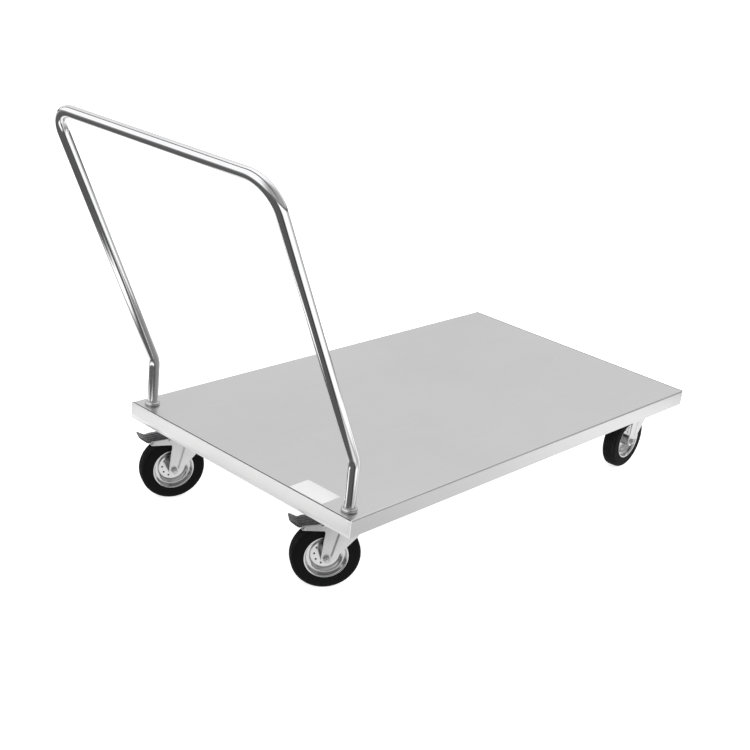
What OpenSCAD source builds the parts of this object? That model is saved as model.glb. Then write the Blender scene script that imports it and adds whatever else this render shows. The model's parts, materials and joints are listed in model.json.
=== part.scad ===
// Stainless platform trolley: folded sheet deck, bent-tube push handle and four swivel castors.
// Millimetres. Floor at z = 0, +X is the direction of travel, the handle stands at the -X end.
// The origin is the bottom centre of the whole trolley's bounding box.

/* [Deck] */
// Length of the load deck
deck_l = 1250; // [1000:5:1600]
// Width of the load deck
deck_w = 703; // [550:1:900]
// Height of the load surface above the floor
deck_h = 222; // [219:1:260]
// Depth of the folded skirt around the deck
skirt_h = 38; // [34:1:41]
// Thickness of the deck sheet
sheet_t = 1.5; // [1:0.1:2]
// Outside radius of the long folds
fold_r = 4; // [2.5:0.5:6]
// Inward return lip along the bottom of the long skirts
lip_w = 12; // [6:1:18]
// Thickness of the two end plates
end_t = 2; // [1.5:0.1:3]
// Width of the open seam between deck sheet and end plate
seam_w = 1.2; // [0.6:0.1:2]
// Width of the ledge that carries the end of the deck sheet
ledge_w = 12; // [8:1:16]

/* [Underframe] */
// Width of the cross channels that carry the castors
channel_w = 103; // [100:1:110]
// Thickness of the channels and ribs
channel_t = 2.5; // [2:0.1:3]
// Width of each lengthwise rib
rib_w = 50; // [35:1:70]
// Distance between the centre lines of the two ribs
rib_pitch = 240; // [180:5:320]

/* [Handle] */
// Outside diameter of the handle tube
tube_d = 25; // [20:0.5:30]
// Wall of the handle tube
tube_wall = 1.5; // [1:0.1:2.5]
// Distance from the deck's end to the handle legs
leg_inset = 32; // [28:1:38]
// Distance between the two handle legs
leg_pitch = 632; // [450:1:640]
// Height above the deck at which the legs bend outwards
knee_h = 108; // [70:1:180]
// Outward lean of the upper handle
lean = 25.5; // [10:0.5:35]
// Length of the leaning part, knee to push bar
lean_l = 654; // [450:1:800]
// Centre-line radius of the knee bends
knee_r = 60; // [40:1:100]
// Centre-line radius of the two bends beside the push bar
corner_r = 62; // [40:1:120]
// Wall of the collar at each leg's foot
collar_wall = 4.7; // [3.4:0.1:8]
// Height of the collar
collar_h = 8; // [5:0.5:12]
// Wall of the sockets under the deck
socket_wall = 3; // [2:0.1:4]

/* [Castors] */
// Tyre diameter
wheel_d = 150; // [140:1:152]
// Tyre width
tyre_w = 38; // [30:1:42]
// Depth of the rubber above the rim seat
tyre_depth = 29; // [24:1:32]
// Corner radius of the tread
tread_r = 11; // [4:0.5:13]
// Offset of the axle behind the swivel axis
trail = 42; // [36:1:46]
// Swivel axis to the handle end of the deck
rear_inset = 101; // [99:1:130]
// Swivel axis to the far end of the deck
front_inset = 59; // [58:1:130]
// Swivel axis to the deck's side
side_inset = 96; // [90:1:140]
// Clearance between tyre and fork leg
leg_gap = 4; // [3:0.5:6]
// Thickness of the fork sheet
fork_t = 3; // [2.5:0.1:3.5]
// Height of the embossed panel on each fork leg
emboss_h = 2.5; // [1.5:0.1:3]
// Axle bolt diameter
axle_d = 8; // [8:1:10]
// King pin diameter
kingpin_d = 12; // [10:1:14]
// Castor plate length
plate_l = 100; // [95:1:100]
// Castor plate width
plate_w = 85; // [80:1:90]
// Castor plate thickness
plate_t = 3; // [2.5:0.1:4]
// Bolt spacing along the plate
bolt_x = 80; // [76:1:84]
// Bolt spacing across the plate
bolt_y = 60; // [58:1:66]
// Castor bolt diameter
bolt_d = 8; // [6:1:8]

/* [Castor angles] */
// Swivel angle of the left castor at the handle end
angle_rear_left = -24.4; // [-180:0.1:180]
// Swivel angle of the right castor at the handle end
angle_rear_right = -36.1; // [-180:0.1:180]
// Swivel angle of the left castor at the far end
angle_front_left = 14; // [-180:0.1:180]
// Swivel angle of the right castor at the far end
angle_front_right = 3.5; // [-180:0.1:180]

/* [Brake] */
// Travel of the brake pedal
press_angle = 5; // [3:0.5:6]
// Clearance between the pedal and each fork arm
pedal_gap = 1; // [1:0.5:5]
// Thickness of the pedal sheet
pedal_t = 2.5; // [2:0.1:3]
// Brake pin diameter
brake_pin_d = 5; // [4:0.5:5]

/* [Hidden] */
$fn = 64;
// Clearance of a bolt or pin in its hole
hole_gap = 0.1;
// Gap between moving pieces
move_gap = 0.3;
// Running clearance of the pedal on its pin
run_gap = 0.06;
tiny = 0.01;

deck_under = deck_h - sheet_t;
skirt_z = deck_h - skirt_h;
pan_l = deck_l - 2 * (end_t + seam_w);
channel_h = deck_under - skirt_z;
channel_l = deck_w - 2 * (sheet_t + lip_w + 1);

leg_x = -deck_l / 2 + leg_inset;
tube_r = tube_d / 2;
knee_z = deck_h + knee_h;
knee_tan = knee_r * tan(lean / 2);
bar_x = leg_x - lean_l * sin(lean);
// Moves the deck's centre so that the bounding box is centred on the origin
centre_x = (tube_r - bar_x - deck_l / 2) / 2;
socket_r = tube_r + hole_gap + socket_wall;
socket_z = skirt_z + 3;
leg_bolt_z = (socket_z + deck_under) / 2;
leg_bolt_d = 6;

wheel_r = wheel_d / 2;
seat_r = wheel_r - tyre_depth;
rim_lip = 1.6;
hub_r = 13;
hub_half = tyre_w / 2 + 1.4;
sleeve_r = 7.5;
leg_in = tyre_w / 2 + leg_gap;
leg_out = leg_in + fork_t;
crown_in = wheel_r + 4;
crown_out = crown_in + fork_t;
crown_r = 33;
plate_z = skirt_z - plate_t;
pedal_w = 2 * (leg_in - pedal_gap);
race_z = wheel_r + crown_out + 6;
dome_r = 34;
dome_z = plate_z - 6;

// Brake layout: [behind the axle, above the axle]
pin_at = [-14, wheel_r + 3.2];
tip_at = [-54, 71];
fold_at = [-63.5, 76.5];
pedal_end = [-82.5, 86.5];
pedal_front = [-4, 86.8];
arm_r = 5;

// Name, swivel axis, swivel angle, braked
CASTORS = [
    ["rl", [-deck_l / 2 + rear_inset, deck_w / 2 - side_inset], angle_rear_left, true],
    ["rr", [-deck_l / 2 + rear_inset, -deck_w / 2 + side_inset], angle_rear_right, true],
    ["fl", [deck_l / 2 - front_inset, deck_w / 2 - side_inset], angle_front_left, false],
    ["fr", [deck_l / 2 - front_inset, -deck_w / 2 + side_inset], angle_front_right, false]
];
CASTOR_PARTS = ["plate", "fork", "kingpin", "race", "axle", "hub", "disc_left", "disc_right", "tyre"];
BRAKE_PARTS = ["pedal", "brake_shoe", "brake_pins"];

// ---------- shared shapes ----------

// Rectangle standing on the x axis with its two upper corners rounded
module arch_rect(w, h, r) {
    translate([-w / 2, 0]) square([w, h - r]);
    translate([-w / 2 + r, 0]) square([w - 2 * r, h]);
    for (s = [-1, 1]) translate([s * (w / 2 - r), h - r]) circle(r);
}

// Runs a yz outline along x, centred
module along_x(l) {
    translate([-l / 2, 0, 0]) rotate([90, 0, 90]) linear_extrude(l) children();
}

// Runs an xz outline along y from y0, over thickness t
module along_y(y0, t) {
    translate([0, y0 + t, 0]) rotate([90, 0, 0]) linear_extrude(t) children();
}

// Hexagon prism across flats af
module hexagon(af, h) {
    cylinder(h = h, r = af / sqrt(3), $fn = 6);
}

// Bolt along +z: head below z = 0, nut seated at z = grip
module bolt(d, grip, af, head_h, nut_h) {
    translate([0, 0, -head_h]) hexagon(af, head_h);
    cylinder(h = grip + nut_h + 2, r = d / 2);
    translate([0, 0, grip]) difference() {
        hexagon(af, nut_h);
        translate([0, 0, -1]) cylinder(h = nut_h + 2, r = d / 2 + tiny);
    }
}

// Places a castor: swivel axis and angle from its table row
module place(c) {
    translate([centre_x + c[1][0], c[1][1], 0]) rotate([0, 0, c[2]]) children();
}

// Places a fixed piece at a castor's swivel axis
module at_axis(c) {
    translate([centre_x + c[1][0], c[1][1], 0]) children();
}

// Moves from the swivel axis to the wheel centre
module at_wheel() {
    translate([-trail, 0, wheel_r]) children();
}

module deck_frame() {
    translate([centre_x, 0, 0]) children();
}

module at_legs(side) {
    translate([leg_x, side * leg_pitch / 2, 0]) children();
}

// ---------- deck and underframe ----------

module deck_pan() color([0.80, 0.80, 0.81]) deck_frame() difference() {
    translate([0, 0, skirt_z]) along_x(pan_l) {
        difference() {
            arch_rect(deck_w, skirt_h, fold_r);
            translate([0, -1]) arch_rect(deck_w - 2 * sheet_t, skirt_h - sheet_t + 1, fold_r - sheet_t);
        }
        for (s = [0, 1]) mirror([s, 0]) translate([-deck_w / 2, 0]) square([lip_w, sheet_t]);
    }
    for (s = [-1, 1]) at_legs(s)
        translate([0, 0, deck_under - 1]) cylinder(h = sheet_t + 2, r = tube_r + 2 * hole_gap);
}

// End plate at the -x end, mirrored for the other end
module end_plate() color([0.88, 0.88, 0.89]) {
    outer = -deck_l / 2;
    along_y(-deck_w / 2, deck_w) difference() {
        translate([outer, skirt_z]) square([end_t, skirt_h]);
        translate([outer, deck_h - 1]) difference() {
            square([1, 1]);
            translate([1, 0]) circle(1);
        }
    }
    ledge(end_t / 2);
}

// Ledge behind the end plate, under the end of the deck sheet, from x0 behind the plate's face
module ledge(x0) {
    ledge_l = deck_w - 2 * fold_r;
    along_y(-ledge_l / 2, ledge_l) translate([-deck_l / 2 + x0, deck_under - sheet_t])
        square([end_t + ledge_w - x0, sheet_t]);
}

module end_plate_rear() deck_frame() end_plate();
module end_plate_front() deck_frame() mirror([1, 0, 0]) end_plate();

// Channel section, open side up: width w, height h
module channel_2d(w, h) {
    translate([-w / 2, 0]) difference() {
        square([w, h]);
        translate([channel_t, channel_t]) square([w - 2 * channel_t, h]);
    }
}

module cross_channel(x, castors) color([0.72, 0.72, 0.74]) difference() {
    deck_frame() difference() {
        translate([x, 0, skirt_z]) along_y(-channel_l / 2, channel_l) channel_2d(channel_w, channel_h);
        for (s = [0, 1]) mirror([s, 0, 0]) ledge(0);
    }
    for (c = castors) at_axis(c) {
        translate([0, 0, skirt_z - 1]) cylinder(h = channel_t + 2, r = kingpin_d / 2 + 6);
        bolt_holes(skirt_z - 1, channel_t + 2);
    }
}

module cross_channel_rear() difference() {
    cross_channel(-deck_l / 2 + rear_inset, [CASTORS[0], CASTORS[1]]);
    deck_frame() for (s = [-1, 1]) at_legs(s)
        translate([0, 0, socket_z - 1]) cylinder(h = deck_under - socket_z + 2, r = socket_r + hole_gap);
}
module cross_channel_front() cross_channel(deck_l / 2 - front_inset, [CASTORS[2], CASTORS[3]]);

module rib(side) color([0.72, 0.72, 0.74]) {
    x0 = -deck_l / 2 + rear_inset + channel_w / 2;
    x1 = deck_l / 2 - front_inset - channel_w / 2;
    deck_frame() translate([(x0 + x1) / 2, side * rib_pitch / 2, skirt_z])
        along_x(x1 - x0) channel_2d(rib_w, channel_h);
}

module label() color([0.96, 0.96, 0.95]) {
    label_l = 55;
    label_w = 96;
    label_t = 0.3;
    deck_frame() translate([leg_x + 1, -leg_pitch / 2 + 99, deck_h + label_t / 2])
        cube([label_l, label_w, label_t], center = true);
}

// ---------- handle ----------

// One straight run of tube along z
module tube_run(l) {
    difference() {
        cylinder(h = l, r = tube_r);
        translate([0, 0, -tiny]) cylinder(h = l + 2 * tiny, r = tube_r - tube_wall);
    }
}

// Bend of the tube in the xy plane, from +x towards +y
module tube_bend(bend_r, angle) {
    rotate_extrude(angle = angle) translate([bend_r, 0]) difference() {
        circle(tube_r);
        circle(tube_r - tube_wall);
    }
}

module handle() color([0.78, 0.78, 0.80]) deck_frame() {
    foot_z = socket_z + 1;
    difference() {
        union() {
            for (s = [-1, 1]) at_legs(s) {
                translate([0, 0, foot_z]) tube_run(knee_z - knee_tan - foot_z);
                translate([-knee_r, 0, knee_z - knee_tan]) rotate([90, 0, 0]) tube_bend(knee_r, lean);
            }
            translate([leg_x, 0, knee_z]) rotate([0, -lean, 0]) upper_handle();
        }
        for (s = [-1, 1]) at_legs(s) leg_bolt_hole();
    }
}

// The part above the knees, upright: legs, corner bends and push bar
module upper_handle() {
    for (s = [0, 1]) mirror([0, s, 0]) {
        translate([0, -leg_pitch / 2, knee_tan]) tube_run(lean_l - corner_r - knee_tan);
        translate([0, -leg_pitch / 2 + corner_r, lean_l - corner_r]) rotate([90, 0, -90])
            tube_bend(corner_r, 90);
    }
    translate([0, leg_pitch / 2 - corner_r, lean_l]) rotate([90, 0, 0]) tube_run(leg_pitch - 2 * corner_r);
}

module leg_bolt_hole() {
    translate([0, 0, leg_bolt_z]) rotate([90, 0, 0])
        cylinder(h = 2 * socket_r + 2, r = leg_bolt_d / 2 + hole_gap, center = true);
}

module collar(side) color([0.82, 0.82, 0.84]) deck_frame() at_legs(side) translate([0, 0, deck_h]) {
    bead_r = collar_h / 2 + 0.3;
    rotate_extrude() intersection() {
        translate([tube_r + collar_wall - bead_r, collar_h / 2]) circle(bead_r);
        translate([tube_r + hole_gap, 0]) square([collar_wall, collar_h]);
    }
}

module socket(side) color([0.66, 0.66, 0.68]) deck_frame() at_legs(side) difference() {
    translate([0, 0, socket_z]) difference() {
        cylinder(h = deck_under - socket_z, r = socket_r);
        translate([0, 0, -1]) cylinder(h = deck_under - socket_z + 2, r = tube_r + hole_gap);
    }
    leg_bolt_hole();
}

module handle_bolts() color([0.62, 0.62, 0.64]) deck_frame() for (s = [-1, 1]) at_legs(s)
    translate([0, s * socket_r, leg_bolt_z]) rotate([s * 90, 0, 0])
        bolt(leg_bolt_d, 2 * socket_r, 10, 4, 5);

// ---------- castor plates ----------

module bolt_holes(z, h) {
    for (x = [-1, 1], y = [-1, 1])
        translate([x * bolt_x / 2, y * bolt_y / 2, z]) cylinder(h = h, r = bolt_d / 2 + 4 * hole_gap);
}

module plate() color([0.74, 0.75, 0.76]) difference() {
    union() {
        translate([-plate_l / 2, -plate_w / 2, plate_z]) cube([plate_l, plate_w, plate_t]);
        rotate_extrude() {
            translate([0, dome_z]) square([dome_r, plate_z - dome_z]);
            translate([dome_r - fork_t, race_z + 2]) square([fork_t, plate_z - race_z - 2]);
        }
    }
    translate([0, 0, dome_z - 1]) cylinder(h = skirt_z - dome_z + 2, r = kingpin_d / 2 + move_gap);
    bolt_holes(plate_z - 1, plate_t + 2);
}

module castor_bolts() color([0.62, 0.62, 0.64]) for (c = CASTORS) at_axis(c)
    for (x = [-1, 1], y = [-1, 1])
        translate([x * bolt_x / 2, y * bolt_y / 2, plate_z])
            bolt(bolt_d, plate_t + channel_t, 13, 5.3, 6.5);

// ---------- swivel forks ----------

// Outline of one leg: top edge, sloping front edge and axle boss
module leg_outline() {
    boss_r = 12.5;
    polygon([[-boss_r, 2], [-8, 60], [-8, crown_out], [trail + 24, crown_out], [trail + 20, 54],
             [boss_r - 2.6, -7.6]]);
    circle(boss_r);
}

// Embossed front panel of the leg, set in by e from its border
module panel_outline(e) {
    polygon([[22 + e, crown_in - 6 - e], [trail + 22 - e, crown_in - 6 - e], [trail + 19 - e, 54 - e * 0.2],
             [13 + e * 0.2, -3 + e * 1.4], [7 + e, 8]]);
}

// Rear arm over the tyre, which carries the brake pedal
module arm_outline() {
    arm_z = tip_at[1] - arm_r;
    polygon([[tip_at[0], arm_z], [-14, arm_z], [-14, arm_z - 6], [-4, arm_z - 6], [-4, crown_out],
             [-8, crown_out], [tip_at[0] - 0.6, tip_at[1] + arm_r]]);
    translate(tip_at) circle(arm_r);
}

module leg(braked) {
    along_y(leg_in, fork_t) {
        leg_outline();
        if (braked) difference() {
            arm_outline();
            translate([-14, tip_at[1] - arm_r - 6]) circle(6);
        }
    }
    difference() {
        along_y(leg_out - tiny, emboss_h + tiny) panel_outline(0);
        along_y(leg_in, emboss_h) panel_outline(4);
    }
}

module fork(braked) color([0.80, 0.81, 0.82]) difference() {
    union() {
        at_wheel() difference() {
            for (s = [0, 1]) mirror([0, s, 0]) leg(braked);
            rotate([90, 0, 0]) cylinder(h = 100, r = axle_d / 2 + hole_gap, center = true);
            if (braked) for (p = [pin_at, tip_at]) at_pin(p)
                cylinder(h = 100, r = brake_pin_d / 2 + hole_gap, center = true);
        }
        crown();
    }
    translate([0, 0, wheel_r + crown_in - 1])
        cylinder(h = race_z, r = kingpin_d / 2 + hole_gap);
}

module crown() {
    crown_z = wheel_r + crown_in;
    translate([0, 0, crown_z]) linear_extrude(fork_t) {
        translate([-trail - 8, -leg_out]) square([trail + 8, 2 * leg_out]);
        circle(crown_r);
    }
    rotate_extrude() polygon([[0, crown_z + fork_t - tiny], [crown_r - 1, crown_z + fork_t - tiny],
                              [crown_r - 8, race_z], [0, race_z]]);
}

module kingpin() color([0.60, 0.60, 0.62]) {
    head_h = 7;
    head_r = kingpin_d / 2 + 4;
    under = wheel_r + crown_in;
    translate([0, 0, under - head_h]) cylinder(h = head_h, r = head_r);
    translate([0, 0, under - tiny]) cylinder(h = skirt_z + 1 - under, r = kingpin_d / 2);
    translate([0, 0, skirt_z + move_gap]) cylinder(h = 3.5, r = head_r - 1);
}

module race() color([0.55, 0.55, 0.57]) rotate_extrude() {
    inner = kingpin_d / 2 + hole_gap;
    outer = dome_r - fork_t - 2 * move_gap;
    translate([inner, race_z]) square([crown_r - 10 - inner, dome_z - race_z - move_gap]);
    translate([inner, race_z + 3]) square([outer - inner, dome_z - race_z - 3 - move_gap]);
}

module axle() color([0.68, 0.69, 0.71]) at_wheel() {
    sleeve_half = leg_in - hole_gap;
    translate([0, leg_out, 0]) rotate([90, 0, 0]) bolt(axle_d, 2 * leg_out, 13, 5.3, 6.5);
    rotate([90, 0, 0]) difference() {
        union() {
            cylinder(h = 2 * sleeve_half, r = sleeve_r, center = true);
            for (s = [0, 1]) mirror([0, 0, s]) translate([0, 0, hub_half + move_gap])
                cylinder(h = sleeve_half - hub_half - move_gap, r = hub_r - 1);
        }
        cylinder(h = 100, r = axle_d / 2 + hole_gap, center = true);
    }
}

// ---------- wheels ----------

// Turns an (r, y) outline about the axle
module about_axle() {
    at_wheel() rotate([-90, 0, 0]) rotate_extrude($fn = 128) children();
}

module hub() color([0.50, 0.50, 0.52]) about_axle()
    translate([sleeve_r + move_gap, -hub_half]) square([hub_r - sleeve_r - move_gap, 2 * hub_half]);

// Pressed wheel disc, one side: flat centre, stepped dish, tyre seat and outer lip
module disc() {
    t = 2.3;
    half = tyre_w / 2;
    lip_r = seat_r + rim_lip;
    hole_circle_r = 23;
    difference() {
        about_axle() polygon([
            [hub_r + hole_gap, 0], [seat_r - 14.5, 0], [seat_r - 11, 4.4], [seat_r - 7.4, 6.3],
            [seat_r - 4, 6.8], [seat_r, 9], [seat_r, half - 2.2], [lip_r, half - 2.2],
            [lip_r, half - 0.4], [seat_r - 1.5, half - 1.2], [seat_r - 2.8, half - 4.4],
            [seat_r - 4.6, 8.9], [seat_r - 8, 8.4], [seat_r - 12.5, 6.3], [seat_r - 15.7, t],
            [hub_r + hole_gap, t]]);
        at_wheel() rotate([-90, 0, 0]) for (i = [0:9]) rotate([0, 0, 36 * i])
            translate([hole_circle_r, 0, -1]) cylinder(h = t + 2, r = 1.8);
    }
}

module disc_left() color([0.84, 0.85, 0.86]) disc();
module disc_right() color([0.84, 0.85, 0.86]) mirror([0, 1, 0]) disc();

module tyre() color([0.13, 0.13, 0.13]) about_axle() difference() {
    half = tyre_w / 2;
    groove_w = 2;
    groove_d = 1.6;
    groove_pitch = (tyre_w - tread_r) / 5;
    union() {
        translate([seat_r, -half + 2.3]) square([rim_lip + 1, tyre_w - 4.6]);
        translate([seat_r + rim_lip + 0.4, -half]) square([tyre_depth - rim_lip - 0.4 - tread_r, tyre_w]);
        translate([wheel_r - tread_r - tiny, -half + tread_r]) square([tread_r + tiny, tyre_w - 2 * tread_r]);
        for (s = [-1, 1]) translate([wheel_r - tread_r, s * (half - tread_r)]) circle(tread_r);
    }
    for (y = [-1.5, -0.5, 0.5, 1.5]) translate([wheel_r - groove_d, y * groove_pitch - groove_w / 2])
        square([groove_d + 1, groove_w]);
}

// ---------- brake ----------

// Sheet along a line between two points, thickness t below it
module strip_2d(a, b, t) {
    polygon([a, b, b - [0, t], a - [0, t]]);
}

module pedal() color([0.30, 0.30, 0.31]) at_wheel() {
    half = pedal_w / 2;
    toe_half = half - 3;
    ear_t = 2;
    ear_y = half - ear_t;
    intersection() {
        along_y(-half, pedal_w) {
            strip_2d(pedal_front, fold_at, pedal_t);
            strip_2d(fold_at, pedal_end, pedal_t);
        }
        linear_extrude(200) polygon([[0, -half], [0, half], [fold_at[0], half], [pedal_end[0], toe_half],
                                     [pedal_end[0], -toe_half], [fold_at[0], -half]]);
    }
    for (s = [0, 1]) mirror([0, s, 0]) along_y(ear_y, ear_t) difference() {
        union() {
            translate(pin_at) circle(brake_pin_d / 2 + 2.2);
            polygon([pin_at + [-4, 0], pin_at + [4, 0], pin_at + [4, 5], pin_at + [-4, 3.6]]);
        }
        translate(pin_at) circle(brake_pin_d / 2 + run_gap);
    }
}

module brake_shoe() color([0.10, 0.10, 0.10]) at_wheel() {
    shoe_half = tyre_w / 2 - 2;
    slope = (pedal_front[1] - fold_at[1]) / (pedal_front[0] - fold_at[0]);
    back = -46;
    front = -24;
    under = function(u) fold_at[1] - pedal_t + (u - fold_at[0]) * slope;
    along_y(-shoe_half, 2 * shoe_half) difference() {
        polygon([[back, under(back)], [front, under(front)], [front, 60], [back, 50]]);
        translate(pin_at) rotate(-press_angle) translate(-pin_at) circle(wheel_r + move_gap, $fn = 128);
    }
}

// Turns a pin that stands along z to lie across the arms at a point of the brake layout
module at_pin(p) {
    translate([p[0], 0, p[1]]) rotate([90, 0, 0]) children();
}

// Hinge pin of the pedal across both arms, and a short rivet in the tip of each arm
module brake_pins() color([0.66, 0.67, 0.69]) at_wheel() {
    at_pin(pin_at) cylinder(h = 2 * leg_out + 1, r = brake_pin_d / 2, center = true);
    for (s = [0, 1]) {
        at_pin(pin_at) mirror([0, 0, s]) pin_head();
        at_pin(tip_at) mirror([0, 0, s]) {
            translate([0, 0, leg_in]) cylinder(h = fork_t + 1, r = brake_pin_d / 2);
            pin_head();
        }
    }
}

module pin_head() {
    translate([0, 0, leg_out]) cylinder(h = 1.5, r = brake_pin_d / 2 + 1.5);
}

// ---------- assembly ----------

deck_pan();
end_plate_rear();
end_plate_front();
cross_channel_rear();
cross_channel_front();
rib(1);  // rib_left
rib(-1);  // rib_right
handle();
collar(1);  // collar_left
collar(-1);  // collar_right
socket(1);  // socket_left
socket(-1);  // socket_right
handle_bolts();
castor_bolts();
label();

for (c = CASTORS) {
    at_axis(c) plate();
    place(c) fork(c[3]);
    place(c) kingpin();
    place(c) race();
    place(c) axle();
    place(c) hub();
    place(c) disc_left();
    place(c) disc_right();
    place(c) tyre();
    if (c[3]) {
        place(c) pedal();
        place(c) brake_shoe();
        place(c) brake_pins();
    }
}
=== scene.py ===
# Platform trolley: the surfaces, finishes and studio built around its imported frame.
# Laid out as an add-on and run as a script. Metres, in the frame's own axes.
import json
import math

import bmesh
import bpy
import numpy as np
from bpy.props import FloatProperty, FloatVectorProperty, PointerProperty
from mathutils import Matrix, Vector


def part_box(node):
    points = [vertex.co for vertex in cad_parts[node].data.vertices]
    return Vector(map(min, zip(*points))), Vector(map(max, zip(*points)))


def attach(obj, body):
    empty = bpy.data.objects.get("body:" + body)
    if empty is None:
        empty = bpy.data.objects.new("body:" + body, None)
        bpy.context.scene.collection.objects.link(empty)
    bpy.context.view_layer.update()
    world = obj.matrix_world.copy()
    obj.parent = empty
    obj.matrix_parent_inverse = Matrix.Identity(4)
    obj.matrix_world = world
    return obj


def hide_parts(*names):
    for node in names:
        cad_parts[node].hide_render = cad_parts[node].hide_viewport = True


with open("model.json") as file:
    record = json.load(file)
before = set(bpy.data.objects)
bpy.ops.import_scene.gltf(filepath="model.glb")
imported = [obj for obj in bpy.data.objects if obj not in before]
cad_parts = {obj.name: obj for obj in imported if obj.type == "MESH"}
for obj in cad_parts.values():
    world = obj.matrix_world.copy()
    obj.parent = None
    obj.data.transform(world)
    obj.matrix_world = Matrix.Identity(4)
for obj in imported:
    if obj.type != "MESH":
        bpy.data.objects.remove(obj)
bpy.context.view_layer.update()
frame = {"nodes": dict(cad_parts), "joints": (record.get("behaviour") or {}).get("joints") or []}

bl_info = {
    "name": "Platform Trolley",
    "version": (1, 0, 0),
    "blender": (4, 5, 0),
    "location": "View3D > Sidebar > Trolley",
    "description": "Builds the surfaces and finishes of a stainless platform trolley",
    "category": "Object",
}

JOINTS = {joint["name"]: joint for joint in frame["joints"]}
CORNERS = ("rl", "rr", "fl", "fr")
BRAKED = ("rl", "rr")
LEGS = ("left", "right")


# ---------- sizes and colours ----------

def length(name, description, default):
    """A length in metres, as a property."""
    return FloatProperty(name=name, description=description, default=default, subtype="DISTANCE",
                         unit="LENGTH", precision=4)


def colour(name, description, default):
    """A linear colour, as a property."""
    return FloatVectorProperty(name=name, description=description, default=default, size=3,
                               subtype="COLOR", min=0.0, max=1.0)


def side_point(name, description, default):
    """A point in the plane of a wheel, behind and above its axle, as a property."""
    return FloatVectorProperty(name=name, description=description, default=default, size=2,
                               subtype="XYZ", unit="LENGTH", precision=4)


class TrolleySizes(bpy.types.PropertyGroup):
    tube_wall: length("Tube wall", "Wall of the handle tube", 0.0015)
    knee_radius: length("Knee radius", "Centre-line radius of the bend above each foot", 0.060)
    corner_radius: length("Corner radius", "Centre-line radius of the bends beside the push bar", 0.062)
    lean: FloatProperty(name="Lean", description="Lean of the upper handle", subtype="ANGLE",
                        unit="ROTATION", default=math.radians(25.5))
    plate_sheet: length("End plate sheet", "Thickness of the end plates", 0.002)
    fold_radius: length("Fold radius", "Outside radius of the deck's long folds", 0.004)
    plate_corner: length("Plate corner", "Radius of the end plates' upright corners", 0.0035)
    edge_radius: length("Edge radius", "Radius of the end plates' top edge", 0.0010)
    # The seam shade strip is a near black bead laid in each seam as painted shade of the gap between deck
    # sheet and end plate
    seam_shade_lap: length("Seal lap", "How far the seal laps over each side of the seam", 0.0011)
    label_corner: length("Label corner", "Corner radius of the label", 0.004)
    fork_sheet: length("Fork sheet", "Thickness of the fork sheet", 0.003)
    fork_bend: length("Fork bend", "Outside radius of the bends between crown and legs", 0.006)
    emboss: length("Emboss", "Height of the pressed panel on each leg", 0.0025)
    emboss_slope: length("Emboss slope", "Width of the slope round the pressed panel", 0.0035)
    boss_radius: length("Boss radius", "Radius of the leg's end round the axle", 0.0125)
    crown_height: length("Crown height", "Top of the crown above the axle", 0.082)
    crown_radius: length("Crown radius", "Radius of the crown round the king pin", 0.033)
    trail: length("Trail", "Offset of the axle behind the swivel axis", 0.042)
    tyre_width: length("Tyre width", "Width of the tyres", 0.038)
    leg_face: length("Leg face", "Distance from the wheel's middle to the outer face of a leg", 0.026)
    seat_radius: length("Seat radius", "Radius of the tyre's seat on the rim", 0.046)
    rim_lip: length("Rim lip", "Height of the rim's lip above the seat", 0.0016)
    shoulder: length("Shoulder", "Corner radius of the tread", 0.011)
    groove_depth: length("Groove depth", "Depth of the grooves in the tread", 0.0016)
    groove_width: length("Groove width", "Width of the grooves in the tread", 0.002)
    disc_sheet: length("Disc sheet", "Thickness of the wheel disc", 0.0023)
    disc_hole: length("Disc hole", "Radius of the small holes in the wheel disc", 0.0018)
    hole_circle: length("Hole circle", "Radius of the circle that the small holes stand on", 0.023)
    axle_nut: length("Axle nut", "Width across flats of the axle bolt and its nut", 0.013)
    bolt_long: length("Bolt spacing along", "Spacing of the castor bolts along the deck", 0.080)
    bolt_cross: length("Bolt spacing across", "Spacing of the castor bolts across the deck", 0.060)
    pedal_front: side_point("Pedal front", "Front edge of the pedal", (-0.004, 0.0868))
    pedal_fold: side_point("Pedal fold", "Fold of the pedal", (-0.0635, 0.0765))
    pedal_end: side_point("Pedal end", "Toe edge of the pedal", (-0.0825, 0.0865))
    pedal_width: length("Pedal width", "Width of the pedal", 0.044)
    pedal_sheet: length("Pedal sheet", "Thickness of the pedal", 0.0025)
    pin_at: side_point("Pedal pin", "Pivot of the pedal", (-0.014, 0.0782))
    arm_tip: side_point("Arm tip", "Rivet at the end of the brake arms", (-0.054, 0.071))
    arm_radius: length("Arm radius", "Half of the brake arm's depth", 0.005)


# Thickness of the deck sheet and of the ledges under its ends
DECK_SHEET = 0.0015
LEDGE_SHEET = 0.0015
# Hexagon fixings: width across flats, head height, nut height, shank radius, and the shank's end past the
# nut's seat
M6_FLATS = 0.010
M6_HEAD = 0.004
M6_NUT = 0.005
M6_RADIUS = 0.003
M6_END = 0.007
M8_FLATS = 0.013
M8_HEAD = 0.0053
M8_NUT = 0.0065
M8_RADIUS = 0.004
M8_END = 0.0085
# Bearing sleeve: bore, tube and shoulder radius
SLEEVE_BORE = 0.0041
SLEEVE_TUBE = 0.0075
SLEEVE_SHOULDER = 0.0120
# Radius of the hub's opening in the wheel disc
DISC_BORE = 0.0131
# Fork: trailing edge behind the axle's line, height above the axle where a brake arm starts, and its fillet
FORK_BACK = -0.008
ARM_FOOT = 0.060
ARM_FILLET = 0.006
# Rings moulded on the tyre's sides: their radii, width and height
RINGS = (0.0525, 0.0605)
RING_WIDTH = 0.0007
RING_RISE = 0.0004
# Beads pressed along the pedal: their distance from its middle, width and height
BEADS = (-0.0105, 0.0, 0.0105)
BEAD_WIDTH = 0.0017
BEAD_RISE = 0.0011
# Pedal pin and rivets: shank and head radius
PIN_RADIUS = 0.0025
PIN_HEAD = 0.0040


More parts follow.
